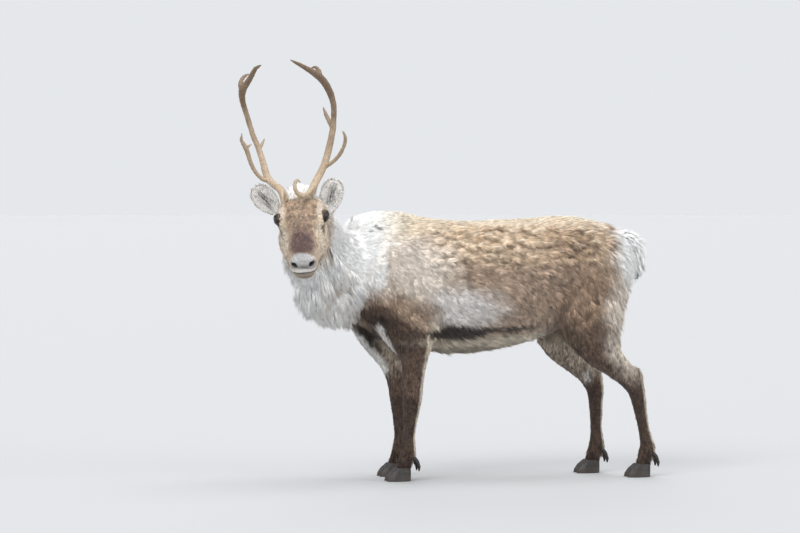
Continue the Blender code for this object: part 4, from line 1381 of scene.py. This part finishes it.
    def fit_lids(self, points: np.ndarray) -> np.ndarray:
        """Lays the skin round each eye on the ball as lids, and opens it between them.

        Args:
            points: The skin's points.

        Returns:
            The moved points.
        """
        points = points.copy()
        for side in SIDES:
            centre = np.array(self.eye_axes(side)[0])
            way, away, slit, facing = self.round_eye(side, points)
            front = facing > 0.15
            lid = front & (away < self.eye_radius + self.lid) & (slit >= 1.0)
            points[lid] = centre + way[lid] * (self.eye_radius + self.lid)
            hole = front & (slit < 1.0) & (away < self.eye_zone)
            points[hole] = centre + way[hole] * (self.eye_radius - self.eye_hollow)
            rim = front & (slit >= 1.0) & (slit < 1.5) & (away < self.eye_zone)
            swell = np.exp(-(((slit[rim] - 1.18) / 0.14) ** 2))[:, None]
            points[rim] += way[rim] * swell * self.lid_swell
        return points

    def tint(self, hair: Hair, share: np.ndarray) -> None:
        """Turns the coat's colour into another one by a share at each point."""
        self.arrays["colour"] = self.arrays["colour"] * (1 - share) + hair.linear() * share

    def mark(self) -> None:
        """Finds the coat's colour at every point."""
        arrays, points = self.arrays, self.arrays["points"]
        base = np.array([GROWTHS[kind].base.linear() for kind in Region])[arrays["region"]]
        arrays["colour"] = self.spread(base, 18)
        wander = np.stack([wave_noise(points, 0.10, seed) for seed in (1, 2, 3)], axis=1)
        folded = self.folded(points + wander * 0.014)
        face = self.pose.local(points + wander * 0.004)
        face[:, 1] = np.abs(face[:, 1])
        off_neck = ~np.isin(arrays["region"], (Region.NECK, Region.THROAT))
        trunk = self.spread(~self.on("head", "ear_"), 3) * self.spread(off_neck, 6)
        for patch in BODY_PATCHES:
            self.tint(patch.hair, patch.cover(folded) * trunk)
        mottle = wave_noise(points * np.array([1.0, 1.0, 0.45]), 0.030, 71)[:, None]
        arrays["colour"] = arrays["colour"] * (1.0 + 0.13 * trunk * mottle)
        head = self.spread(self.on("head"), 2)
        for patch in HEAD_PATCHES:
            self.tint(patch.hair, patch.cover(face) * head)
        self.mark_topline()
        self.mark_neck()
        self.mark_legs(folded)
        self.mark_face()
        self.mark_ears()
        arrays["colour"] = np.clip(arrays["colour"], 0.0, 1.0)

    def mark_topline(self) -> None:
        """The top of the back painted paler where it faces up, as painted light from above, the rusty flecks
        in it, and the painted shadow and highlight of its lumps.
        """
        arrays, points = self.arrays, self.arrays["points"]
        on_back = self.within(4, Region.BACK)
        # The top of the back is painted paler where it faces up: painted light from above.
        self.tint(Hair.CREAM, on_back * smoothstep((arrays["normals"][:, 2:3] - 0.62) / 0.36) * 0.6)
        rust = on_back * smoothstep((wave_noise(points, 0.055, 41)[:, None] - 0.25) / 0.5) * 0.35
        self.tint(Hair.GOLD, rust * smoothstep((points[:, :1] + 0.10) / 0.1))
        # The lumps' painted shadow and highlight.
        arrays["colour"] = arrays["colour"] * arrays["lump_shade"]

    def mark_neck(self) -> None:
        """Grey streaks in the white at the throat's side, and cream over the withers."""
        points = self.arrays["points"]
        is_neck = self.within(2, Region.NECK, Region.THROAT)
        place = points - np.array([-0.395, 0.05, 0.655])
        zone = np.exp(-((place[:, 0] / 0.085) ** 2) - (place[:, 2] / 0.075) ** 2)
        slanted = points @ np.array([[1.0, 0.0, 0.55], [0.0, 1.0, 0.0], [-0.16, 0.0, 0.30]])
        streak = smoothstep((wave_noise(slanted, 0.026, 51) - 0.15) / 0.5)
        self.tint(Hair.GREY_BROWN, is_neck * (zone * (0.15 + 0.55 * streak))[:, None])
        fade = is_neck * smoothstep((points[:, :1] + 0.30) / 0.14)
        self.tint(Hair.CREAM, fade * smoothstep((points[:, 2:3] - 0.78) / 0.08) * 0.85)

    def mark_legs(self, folded: np.ndarray) -> None:
        """Pale insides above the knees and hocks, pale fringes behind, white breast, and painted shadow in
        the armpit.

        Args:
            folded: The skin's points, slightly strayed, with one side folded over the other.
        """
        points, normals = self.arrays["points"], self.arrays["normals"]
        leg = self.within(3, Region.UPPER_LEG, Region.CANNON, Region.FOOT)
        side = np.sign(points[:, 1:2] - self.middle)
        far = (side > 0).astype(float)
        inward = smoothstep((-normals[:, 1:2] * side - 0.20) / 0.5)
        fore = smoothstep((0.05 - folded[:, 0:1]) / 0.04)
        streak = 0.6 + 0.4 * wave_noise(points * np.array([1.0, 1.0, 0.25]), 0.012, 61)[:, None]
        high = smoothstep((folded[:, 2:3] - 0.36 + 0.05 * streak) / 0.08)
        self.tint(Hair.CREAM, leg * inward * high * 0.75 * streak)
        front = smoothstep((-normals[:, 0:1] - 0.15) / 0.4)
        white = leg * fore * front * np.maximum(far, smoothstep((inward - 0.05) / 0.3))
        white = white * smoothstep((folded[:, 2:3] - 0.375) / 0.04) * 0.9
        away = reach(folded, (-0.238, 0.080, 0.492), (0.050, 0.065, 0.055))
        breast = smoothstep((1.3 - away) / 0.5) * (1 - far)
        white = np.maximum(white, breast * smoothstep((0.80 + normals[:, 1:2]) / 0.3) * 0.95)
        self.tint(Hair.WHITE, white)
        fringe = smoothstep((normals[:, 0:1] - 0.42) / 0.25) * leg * (0.70 + 0.15 * fore)
        self.tint(Hair.CREAM, fringe)
        # Painted shadow in the armpit, strongest where the skin faces down.
        slant = np.array([[0.79, 0.0, 0.61], [0.0, 1.0, 0.0], [-0.61, 0.0, 0.79]])
        away = reach((folded - np.array([-0.272, 0.045, 0.495])) @ slant, (0, 0, 0), (0.075, 0.085, 0.034))
        pit = smoothstep((1.45 - away) / 0.7)
        self.tint(Hair.PEAT, pit * smoothstep(0.9 - normals[:, 2:3] * 2.0) * 0.95 * (1 - white))
        ends = np.array([[-0.330, 0.0, 0.535], [-0.195, 0.0, 0.380]])
        flat = points * np.array([1.0, 0.0, 1.0])
        edge = np.linalg.norm(flat - nearest_on(ends, flat)[0], axis=1, keepdims=True)
        edge = smoothstep((0.026 - edge) / 0.014) * far * smoothstep((points[:, 1:2] - 0.17) / 0.02)
        self.tint(Hair.WHITE, edge * 0.9)
        hock = np.exp(-(reach(folded, (0.545, 0.10, 0.350), (0.020, 0.05, 0.026)) ** 2))
        self.tint(Hair.WHITE, hock * leg * inward * 0.9)

    def mark_face(self) -> None:
        """Painted shade in the nostrils, the dark lip edge with painted shade along the mouth's groove, and
        the dark skin round the eyes.
        """
        points = self.arrays["points"]
        # The dark lip edge, with painted shade along the groove between the lips.
        self.tint(Hair.INK, np.exp(-((self.arrays["mouth"] / 0.0042) ** 2))[:, None] * 0.9)
        for side in SIDES:
            # Painted shade in each nostril's hollow.
            pit = self.nostril_reach(side, self.pose.local(points), (0.020, 0.0125, 0.0068))
            self.tint(Hair.INK, smoothstep((1.35 - pit) / 0.6)[:, None])
            _, away, slit, _ = self.round_eye(side, points)
            near = smoothstep((self.eye_radius + 0.0080 - away) / 0.003)
            self.tint(Hair.INK, (near * smoothstep((1.26 - slit) / 0.12))[:, None] * 0.95)

    def mark_ears(self) -> None:
        """Painted shade in the hollow of each cup, in streaks along the hair, and a grey back."""
        points, normals = self.arrays["points"], self.arrays["normals"]
        for ear in EARS:
            mine = self.on(ear.name)
            along, across = ear.local(points, self.pose).T
            facing = normals @ ear.axes()[2]
            fan = np.stack([along * 0.030, across * 0.10, along * 0.0], axis=1)
            streak = smoothstep((wave_noise(fan, 0.024, 31) + 0.20) / 0.5)
            # Painted shade in the hollow of each cup, broken into streaks along the hair.
            depth = np.exp(-(np.abs((along - 0.48) / 0.30) ** 3) - np.abs(across / 0.48) ** 3)
            painted_cup_shade = mine * smoothstep((facing - 0.05) / 0.3) * depth * (0.35 + 0.60 * streak)
            self.tint(Hair.PEAT, painted_cup_shade[:, None] * 0.95)
            self.tint(Hair.GREY_BROWN, (mine * smoothstep((-facing - 0.5) / 0.3) * 0.25)[:, None])

    def lie(self) -> np.ndarray:
        """Finds the way the hair lies: nose to tail and downwards, and root to tip on the ears.

        Returns:
            One direction a point, along the skin.
        """
        points, normals = self.arrays["points"], self.arrays["normals"]
        folded = self.folded(points)
        total = np.zeros_like(points)
        for place, way in LIE_ANCHORS:
            weight = 1.0 / (np.linalg.norm(folded - np.array(place), axis=1) ** 3 + 1e-5)
            total += weight[:, None] * unit(np.array(way))
        total[:, 1] *= np.sign(points[:, 1] - self.middle)
        total = unit(total)
        place, way, _ = nearest_on(np.array(self.neck.axis)[::-1, :3], points)
        low = np.clip((place[:, 2] - points[:, 2]) / 0.12, 0.0, 1.0)[:, None]
        neck = way * (0.85 - 0.4 * low) + np.array([0.0, 0.0, -1.0]) * (0.25 + 0.65 * low)
        out = self.pose.local(points)[:, 1]
        down = -smoothstep((np.abs(out) - 0.03) / 0.04) * 0.45
        face = np.stack([np.full(len(points), -1.0), np.sign(out) * 0.15, down], axis=1)
        choices = (
            (unit(neck), Region.NECK, Region.THROAT),
            (self.pose.world(unit(face)), Region.FACE, Region.MUZZLE, Region.CHEEK),
            (self.pose.world(unit(np.array([[-0.35, 0.0, 1.0]]))), Region.CROWN),
            (unit(np.array([[0.06, 0.0, -1.0]])), Region.UPPER_LEG, Region.CANNON, Region.FOOT),
            (unit(np.array([[0.25, 0.0, -1.0]])), Region.TAIL),
        )
        for ways, *kinds in choices:
            mine = np.isin(self.arrays["region"], kinds)
            total[mine] = np.broadcast_to(ways, total.shape)[mine]
        for ear in EARS:
            mine = self.on(ear.name)
            along, across, _ = ear.axes()
            total[mine] = (along + across * ear.local(points, self.pose)[:, 1:] * 0.5)[mine]
        total = self.spread(total, 9)
        return unit(total - normals * dot(total, normals))

    def unwrap(self, obj: bpy.types.Object) -> None:
        """Unwraps the skin for the baked colours, and keeps each triangle's corners.

        Args:
            obj: The skin's object.
        """
        bpy.context.view_layer.objects.active = obj
        obj.select_set(True)
        self.mesh.uv_layers.new(name=BAKE_LAYER)
        bpy.ops.object.mode_set(mode="EDIT")
        bpy.ops.mesh.select_all(action="SELECT")
        bpy.ops.uv.smart_project(angle_limit=math.radians(66.0), island_margin=0.001)
        bpy.ops.object.mode_set(mode="OBJECT")
        flat = read(self.mesh.uv_layers[BAKE_LAYER].uv, "vector", 2)
        self.arrays["unwrap"] = flat.reshape(-1, 3, 2)


def locks(roots: np.ndarray, size: int, draw: Any) -> np.ndarray:
    """Shares tufts out among pointed locks.

    Args:
        roots: Where the tufts stand.
        size: About how many share a lock.
        draw: The random generator.

    Returns:
        For each tuft, the number of the one that leads its lock.
    """
    leaders = draw.choice(len(roots), max(1, len(roots) // size), replace=False)
    return leaders[nearest(roots[leaders], roots)]


@dataclass
class Tufts:
    """Many closed, tapered tufts of hair, held as arrays with one row a tuft."""

    start: np.ndarray
    bend: np.ndarray
    tip: np.ndarray
    normal: np.ndarray
    width: np.ndarray
    colour: np.ndarray
    patch: np.ndarray
    rings: int = 2
    softness: float = 0.12
    # Painted shade at each root, as a share; the tip is painted paler, partly the hair's own paler end,
    # partly painted light.
    root_painted_shade: float = 0.62
    pale: float = 1.12
    patch_side: float = 0.003
    root_width: float = 0.9
    bulge: float = 0.4
    thickness: float = 0.32
    profile: Sequence[tuple] = ((1, 0, -0.15), (0, 1, 1.0), (-1, 0, -0.15))

    def build(self, name: str, material: bpy.types.Material, slot: str) -> bpy.types.Object:
        """Makes one mesh of all the tufts.

        Args:
            name: The piece's name.
            material: Its material.
            slot: The record's material slot. It is not used.

        Returns:
            The piece's object.
        """
        count, corners = len(self.start), 3 * self.rings + 1
        points, normals = np.zeros((2, count, corners, 3))
        steps, spans = np.zeros((2, corners))
        for ring in range(self.rings):
            t = ring / self.rings
            centre = self.start * (1 - t) ** 2 + self.bend * 2 * t * (1 - t) + self.tip * t**2
            ahead = unit((self.bend - self.start) * (1 - t) + (self.tip - self.bend) * t)
            across = unit(np.cross(ahead, self.normal))
            up = np.cross(across, ahead)
            bulge = self.root_width + self.bulge * math.sin(math.pi * min(t * 1.3, 1.0))
            wide = self.width[:, None] * bulge * (1 - t**2) / 2
            thick = self.width[:, None] * self.thickness * (1 - 0.6 * t)
            for index, (aside, rise, tilt) in enumerate(self.profile, start=ring * 3):
                points[:, index] = centre + across * wide * aside + up * thick * rise
                normals[:, index] = unit(across * aside + up * tilt)
                steps[index], spans[index] = t, 0.5 + 0.5 * aside
        points[:, -1], normals[:, -1] = self.tip, unit(ahead * 0.9 + up * 0.15)
        steps[-1], spans[-1] = 1.0, 0.5
        normals = unit(normals * (1 - self.softness) + self.normal[:, None] * self.softness)
        faces = self.faces(count, corners)
        mesh = bpy.data.meshes.new(name)
        mesh.vertices.add(count * corners)
        mesh.vertices.foreach_set("co", points.astype(np.float32).ravel())
        mesh.loops.add(faces.size)
        mesh.loops.foreach_set("vertex_index", faces.astype(np.int32).ravel())
        mesh.polygons.add(len(faces))
        mesh.polygons.foreach_set("loop_start", np.arange(0, faces.size, 3, dtype=np.int32))
        mesh.update(calc_edges=True)
        self.paint(mesh, steps, spans, faces)
        if self.softness > 0:
            layer = mesh.attributes.new("custom_normal", "FLOAT_VECTOR", "POINT")
            layer.data.foreach_set("vector", normals.astype(np.float32).ravel())
        mesh.materials.append(material)
        return shown(as_object(name, mesh))

    def faces(self, count: int, corners: int) -> np.ndarray:
        """The triangles of all the tufts.

        Args:
            count: How many tufts there are.
            corners: How many points each has.

        Returns:
            One row of three points a triangle.
        """
        edges = ((0, 1), (1, 2), (2, 0))
        faces = [(0, 1, 2)]
        for low in range(0, 3 * (self.rings - 1), 3):
            for a, b in edges:
                faces += [(low + a, low + 3 + b, low + b), (low + a, low + 3 + a, low + 3 + b)]
        last = 3 * (self.rings - 1)
        faces += [(last + a, corners - 1, last + b) for a, b in edges]
        return (np.array(faces)[None] + corners * np.arange(count)[:, None, None]).reshape(-1, 3)

    def paint(self, mesh: bpy.types.Mesh, steps: np.ndarray, spans: np.ndarray, faces: np.ndarray) -> None:
        """Gives the tufts their colours and their two sets of flat coordinates.

        Args:
            mesh: The tufts' mesh.
            steps: How far from root to tip each corner of a tuft is.
            spans: How far across it each corner is.
            faces: The triangles of the mesh.
        """
        order = np.arange(len(self.start))[:, None]
        # Painted shade at the root, fading along the tuft to the paler tip.
        root = np.clip(with_painted_depth_shade(self.colour, self.root_painted_shade), 0, 1)[:, None]
        tip = np.clip(self.colour * self.pale, 0, 1)[:, None]
        coloured(mesh, root * (1 - steps[:, None]) + tip * steps[:, None])
        size = np.linalg.norm(self.tip - self.start, axis=1)[:, None]
        strand = np.stack([spans[None] + order * 7.0, steps[None] * size * 60.0 + order * 3.0], axis=2)
        bake = self.patch[:, None] + (np.stack([spans, steps], axis=1)[None] - 0.5) * self.patch_side
        for name, values in ((BAKE_LAYER, bake), (STRAND_LAYER, strand)):
            flat = values.reshape(-1, 2)[faces.ravel()].astype(np.float32)
            mesh.uv_layers.new(name=name).uv.foreach_set("vector", flat.ravel())


@dataclass(frozen=True)
class Piece:
    """One piece of the short coat: its slot, its rings a tuft, and how its locks gather and vary."""

    name: str
    slot: str
    rings: int
    most: int
    lock: int = 11
    contrast: float = 0.26
    flecks: float = 0.0
    softness: float = 0.12


@dataclass
class Coat:
    """All the hair, grown on the skin in pieces."""

    skin: Skin
    material: Any = None
    most: int = 196000
    ground: float = 0.004
    gather: float = 0.32
    fleck_shade: float = 0.32
    first_seed: int = 40
    mane_seed: int = 77
    mane_density: float = 145000.0
    mane_most: int = 19500
    mane_lock: int = 18
    mane_length: float = 0.096
    mane_gather: float = 0.55

    def roots(self, mask: np.ndarray, density: np.ndarray, seed: int, most: int) -> dict:
        """Spreads roots over part of the skin.

        Args:
            mask: Which triangles carry them.
            density: Tufts to the square metre at each point of the skin.
            seed: The seed of the draw.
            most: The most tufts.

        Returns:
            Arrays of the skin at each root, by name.
        """
        arrays = self.skin.arrays
        triangles = arrays["triangles"][mask]
        a, b, c = np.moveaxis(arrays["points"][triangles], 1, 0)
        area = np.linalg.norm(np.cross(b - a, c - a), axis=1) / 2
        share = np.cumsum(area * density[triangles].mean(1))
        count = min(int(share[-1]), most)
        draw = np.random.default_rng(seed)
        picks = np.searchsorted(share, (np.arange(count) + draw.random(count)) / count * share[-1] * 0.999999)
        a, b = draw.random(count), draw.random(count)
        fold = a + b > 1
        a[fold], b[fold] = 1 - a[fold], 1 - b[fold]
        weights = np.stack([1 - a - b, a, b], axis=1)
        found = {
            key: np.einsum("nk,nk...->n...", weights, arrays[key][triangles[picks]])
            for key in ("points", "normals", "lie", "colour", "growth")
        }
        found["normals"] = unit(found["normals"])
        found["lie"] = unit(found["lie"] - found["normals"] * dot(found["lie"], found["normals"]))
        found["patch"] = np.einsum("nk,nkc->nc", weights, arrays["unwrap"][mask][picks])
        found["draw"] = draw
        LOG.info("area %.3f m2, wanted %d, kept %d", area.sum(), int(share[-1]), count)
        return found

    def grow(self, piece: Piece, mask: np.ndarray, seed: int) -> bpy.types.Object:
        """Grows one piece of short coat.

        Args:
            piece: Its name, slot and kind of tuft.
            mask: Which triangles of the skin carry it.
            seed: The seed of its draws.

        Returns:
            The piece's object.
        """
        most = min(piece.most, self.most // (6 * piece.rings - 2))
        root = self.roots(mask, self.skin.growth("density"), seed, most)
        length, width, lift, _, _, ruffle = root["growth"].T
        draw, count = root["draw"], len(length)
        points, normals, lie = root["points"], root["normals"], root["lie"]
        leader = locks(points, piece.lock, draw)
        own = draw.normal(size=(3, count))
        shared = own[:, leader]
        clump = wave_noise(points, 0.045, seed) * 0.6 + wave_noise(points, 0.018, seed + 1) * 0.5
        turn = ruffle * (clump * 0.8 + shared[0] * 0.6 + own[0] * 0.45)
        way = unit(lie * np.cos(turn)[:, None] + np.cross(normals, lie) * np.sin(turn)[:, None])
        reach = (length * draw.uniform(0.72, 1.2, count))[:, None]
        rise = lift * (1.0 + 0.4 * wave_noise(points, 0.03, seed + 2) + 0.3 * shared[1] + 0.25 * own[1])
        rise = np.clip(rise, 0.02, 1.2)[:, None]
        start = points - normals * (0.0010 + width[:, None] * 0.25)
        bend = points + (way * 0.48 + normals * rise * 0.9) * reach
        tip = points + (way * 0.96 + normals * rise * 0.85) * reach
        tip = tip * (1 - self.gather) + tip[leader] * self.gather
        tip[:, 2] = np.maximum(tip[:, 2], self.ground)
        dark = 1.0 - root["colour"].mean(axis=1)
        shade = 1.0 + piece.contrast * (0.25 + 1.3 * dark) * (0.65 * shared[2] + 0.5 * own[2] + 0.7 * clump)
        shade = np.clip(shade, 0.42, 1.12 + 0.6 * dark)
        shade = np.where(draw.random(count)[leader] < piece.flecks, self.fleck_shade, shade)
        colour = root["colour"] * shade[:, None]
        width = width * draw.uniform(0.75, 1.25, count)
        patch = root["patch"]
        tufts = Tufts(start, bend, tip, normals, width, colour, patch, piece.rings, piece.softness)
        return tufts.build(piece.name, self.material, piece.slot)

    def grow_mane(self, name: str, mask: np.ndarray) -> bpy.types.Object:
        """Grows long hanging locks round the throat and breast.

        Args:
            name: The piece's name.
            mask: Which triangles of the skin carry it.

        Returns:
            The piece's object.
        """
        density = np.full(len(self.skin.arrays["points"]), self.mane_density)
        root = self.roots(mask, density, self.mane_seed, self.mane_most)
        draw, count = root["draw"], len(root["points"])
        points, normals = root["points"], root["normals"]
        _, along, breast = nearest_on(np.array(self.skin.neck.mane_line), points)
        breast = breast[:, None]
        down = np.array([[0.0, 0.0, -1.0]])
        low = unit(down - along * dot(along, down))
        side = np.clip(np.arccos(np.clip(dot(normals, low), -1, 1)) / math.radians(98.0), 0, 1.2)
        way = down * (0.80 - 0.25 * breast + 0.2 * side) + normals * (0.30 - 0.10 * breast)
        way = unit(way + along * (0.12 + 0.40 * breast))
        clump = np.stack([wave_noise(points, 0.035, self.mane_seed + k) for k in range(3)], axis=1)
        way = unit(way + clump * 0.16 + draw.normal(size=(count, 3)) * 0.09)
        length = self.mane_length * (1 - 0.28 * breast) * (1 - 0.22 * side)
        length = length * draw.uniform(0.62, 1.06, (count, 1))
        start = points - normals * 0.004
        bend = points + (normals * 0.50 + way * 0.5) * length * 0.46
        leader = locks(points, self.mane_lock, draw)
        tip = points + way * length
        tip = tip * (1 - self.mane_gather) + tip[leader] * self.mane_gather
        shade = np.clip(1.0 + 0.06 * draw.normal(size=count) + 0.05 * clump[:, 0], 0.7, 1.15)[:, None]
        width = draw.uniform(0.0024, 0.0046, count)
        colour, patch = root["colour"] * shade, root["patch"]
        tufts = Tufts(start, bend, tip, normals, width, colour, patch, root_painted_shade=0.6, pale=1.10)
        return tufts.build(name, self.material, "mane")

    def build(self) -> list:
        """Grows every piece of the coat.

        Returns:
            The pieces' objects.
        """
        self.material = CoatFinish("coat").material()
        skin, arrays = self.skin, self.skin.arrays
        triangles = arrays["triangles"]
        centre = arrays["points"][triangles].mean(1)
        left, front = centre[:, 1] < skin.middle, centre[:, 0] < 0.16

        def on(*words: str) -> np.ndarray:
            """Which triangles belong to the solids with one of these words in their names."""
            return skin.on(*words)[triangles[:, 0]]

        def of(kind: Region) -> np.ndarray:
            """Which triangles are of a region."""
            return arrays["region"][triangles[:, 0]] == kind

        torso, neck, head = on("torso"), on("neck"), on("head")
        plan = (
            (Piece("coat_left_front", "coat", 1, 38000), torso & left & front),
            (Piece("coat_left_rear", "coat", 1, 38000, 13, 0.28), torso & left & ~front),
            (Piece("coat_right_front", "coat", 1, 38000), torso & ~left & front),
            (Piece("coat_right_rear", "coat", 1, 38000, 13, 0.28), torso & ~left & ~front),
            (Piece("coat_neck", "mane", 1, 47000, 9, 0.14, 0.010), neck | (head & of(Region.NECK))),
            (Piece("coat_head", "face", 1, 46000, 14, 0.42), head & ~of(Region.NECK)),
            (Piece("coat_ears", "ear", 1, 22000, 7, 0.16, 0.0, 0.0), on("ear_")),
            (Piece("coat_forelegs", "leg", 1, 27000, 9, 0.42), on("foreleg")),
            (Piece("coat_hindlegs", "leg", 1, 29000, 9, 0.42), on("hindleg")),
            (Piece("coat_tail", "mane", 2, 3600, 7, 0.10, 0.0, 0.35), on("tail")),
        )
        pieces = [self.grow(*row, seed) for seed, row in enumerate(plan, start=self.first_seed)]
        return pieces + [self.grow_mane("mane", neck & of(Region.THROAT))]


@dataclass
class Eye:
    """One eye: its ball with a raised clear front, and the dark edges of its lids."""

    skin: Skin
    side: int
    upper: float = 0.0024
    lower: float = 0.0017
    raised: float = 0.0012
    segments: int = 56
    clear_from: float = 0.55
    clear_rise: float = 0.0022

    def build(self) -> list:
        """Makes the ball and the lids.

        Returns:
            Their objects.
        """
        word = "left" if self.side > 0 else "right"
        centre, _, up, outward = self.skin.eye_axes(self.side)
        turn = Matrix((up.cross(outward), up, outward)).transposed()
        radius = self.skin.eye_radius
        bm = bmesh.new()
        place = Matrix.Translation(centre) @ turn.to_4x4()
        bmesh.ops.create_uvsphere(bm, u_segments=48, v_segments=32, radius=radius, matrix=place)
        for vertex in bm.verts:
            height = (vertex.co - centre).dot(outward) / radius
            if height > self.clear_from:
                share = (height - self.clear_from) / (1.0 - self.clear_from)
                vertex.co += outward * self.clear_rise * float(smoothstep(np.array(share)))
        name = "eye_" + word
        ball = covered(as_mesh(name, bm), EyeFinish(name, centre, turn, radius).material())
        edge = covered(as_mesh("lids_" + word, self.lids()), LidFinish("lids").material())
        return [
            shown(as_object(name, ball), [name]),
            shown(as_object("lids_" + word, edge)),
        ]

    def lids(self) -> bmesh.types.BMesh:
        """Makes the dark edge round the opening, thicker above.

        Returns:
            The edge as one closed tube.
        """
        centre, along, up, outward = self.skin.eye_axes(self.side)
        path = []
        for i in range(self.segments):
            turn = 2.0 * math.pi * i / self.segments
            x, y = self.skin.eye_opening[0] * math.cos(turn), self.skin.eye_opening[1] * math.sin(turn)
            way = along * x + up * y + outward * math.sqrt(max(0.0, 1 - x * x - y * y))
            path.append((centre + way * (self.skin.eye_radius + self.raised), way, y))
        frames = []
        for i, (place, way, y) in enumerate(path):
            ahead = (path[(i + 1) % self.segments][0] - path[i - 1][0]).normalized()
            thick = self.upper if y > 0 else self.lower
            frames.append(frame_at(place, way * thick, ahead.cross(way) * thick, ahead))
        bm = bmesh.new()
        add_tube(bm, frames, 10, closed=True)
        bmesh.ops.recalc_face_normals(bm, faces=bm.faces[:])
        return bm


@dataclass
class Horny:
    """Antlers or hooves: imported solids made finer, smooth and grained."""

    frame: dict
    voxel: float
    rounds: int
    relief: float
    grain: float
    overlap: float = 0.0004

    def build(
        self, name: str, words: Sequence[str], material: bpy.types.Material, slot: str
    ) -> bpy.types.Object:
        """Makes one piece from several solids.

        Args:
            name: The piece's name.
            words: How the names of its solids start.
            material: Its material.
            slot: The record's material slot. It is not used.

        Returns:
            The piece's object.
        """
        nodes = self.frame["nodes"]
        chosen = [nodes[key] for key in sorted(nodes) if key.startswith(tuple(words))]
        bm = bmesh.new()
        add_solids(bm, chosen, self.overlap)
        mesh = remeshed(bm, self.voxel, self.rounds)
        points = read(mesh.vertices, "co", 3).astype(float)
        normals = read(mesh.vertex_normals, "vector", 3).astype(float)
        height = wave_noise(points * np.array([1.0, 1.0, 0.22]), self.grain, 5)
        height += 0.5 * wave_noise(points, self.grain * 0.6, 6)
        move(mesh, points + normals * (height * self.relief + self.relief)[:, None])
        obj = as_object(name, covered(mesh, material))
        return shown(obj, [node.name for node in chosen])


@dataclass(frozen=True)
class Studio:
    """The plain floor, the soft lights and the camera."""

    target: Vector = Vector((-0.1516, 0.1293, 0.7373))
    azimuth: float = math.radians(-12.0)
    elevation: float = math.radians(2.0)
    distance: float = 15.0
    lens: float = 194.4
    floor_radius: float = 40.0

    def build(self) -> None:
        """Sets the stage."""
        self.floor()
        self.light("key_light", (-3.0, -3.6, 3.9), 34.0, 1.8)
        self.light("top_light", (1.2, 0.6, 4.7), 46.0, 1.35)
        self.light("fill_light", (3.8, -3.0, 1.5), 42.0, 0.95)
        self.light("back_light", (0.5, 4.6, 2.5), 36.0, 0.5)
        world = bpy.data.worlds.new("studio")
        world.use_nodes = True
        ground = world.node_tree.nodes["Background"]
        ground.inputs[0].default_value = (0.80, 0.82, 0.85, 1.0)
        ground.inputs[1].default_value = 0.98
        bpy.context.scene.world = world
        bpy.context.scene.view_settings.view_transform = "Standard"
        self.camera()

    def floor(self) -> None:
        """A wide round floor at the soles' level."""
        bm = bmesh.new()
        place = Matrix.Translation((self.target.x, self.target.y, 0.0))
        bmesh.ops.create_circle(bm, cap_ends=True, segments=96, radius=self.floor_radius, matrix=place)
        mesh = as_mesh("floor", bm)
        mesh.materials.append(FloorFinish("floor").material())
        as_object("floor", mesh)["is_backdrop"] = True

    @staticmethod
    def light(name: str, way: Sequence[float], spread: float, strength: float) -> None:
        """One broad, distant light, as even as an overcast window.

        Args:
            name: Its name.
            way: Where it shines from, seen from the animal.
            spread: How wide it looks, in degrees.
            strength: Its strength, in watts to the square metre.
        """
        data = bpy.data.lights.new(name, "SUN")
        data.angle, data.energy = math.radians(spread), strength
        lamp = as_object(name, data)
        lamp.location = way
        lamp.rotation_euler = (-Vector(way)).to_track_quat("-Z", "Y").to_euler()

    def camera(self) -> None:
        """The camera, at the angle of the reference view."""
        data = bpy.data.cameras.new("camera")
        data.lens, data.sensor_width = self.lens, 36.0
        camera = as_object("camera", data)
        flat, rise = math.cos(self.elevation), math.sin(self.elevation)
        way = Vector((math.sin(self.azimuth) * flat, -math.cos(self.azimuth) * flat, rise))
        camera.location = self.target + way * self.distance
        camera.rotation_euler = (-way).to_track_quat("-Z", "Y").to_euler()
        bpy.context.scene.camera = camera


def corners() -> list:
    """The shown object's box as plain numbers."""
    return [[float(value) for value in corner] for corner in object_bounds()]


def main() -> None:
    """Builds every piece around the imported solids."""
    logging.basicConfig(level=logging.INFO, format="%(message)s")
    for obj in list(bpy.data.objects):
        bpy.data.objects.remove(obj)
    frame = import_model()
    skin = Skin(frame, HeadPose(), Neck())
    skin.build()
    Coat(skin).build()
    for side in SIDES:
        Eye(skin, side).build()
    bone = AntlerFinish("antler").material()
    antlers = Horny(frame, 0.0026, 3, 0.0006, 0.007)
    for word in ("left", "right"):
        antlers.build("antler_" + word, [f"antler_{word}_"], bone, "antler")
    horn = HoofFinish("hoof").material()
    hooves = Horny(frame, 0.0018, 7, 0.0002, 0.006)
    for leg in ("foreleg_left", "foreleg_right", "hindleg_left", "hindleg_right"):
        hooves.build("hooves_" + leg, [leg + "_hoof", leg + "_dewclaw"], horn, "hoof")
    Studio().build()


if __name__ == "__main__":
    main()
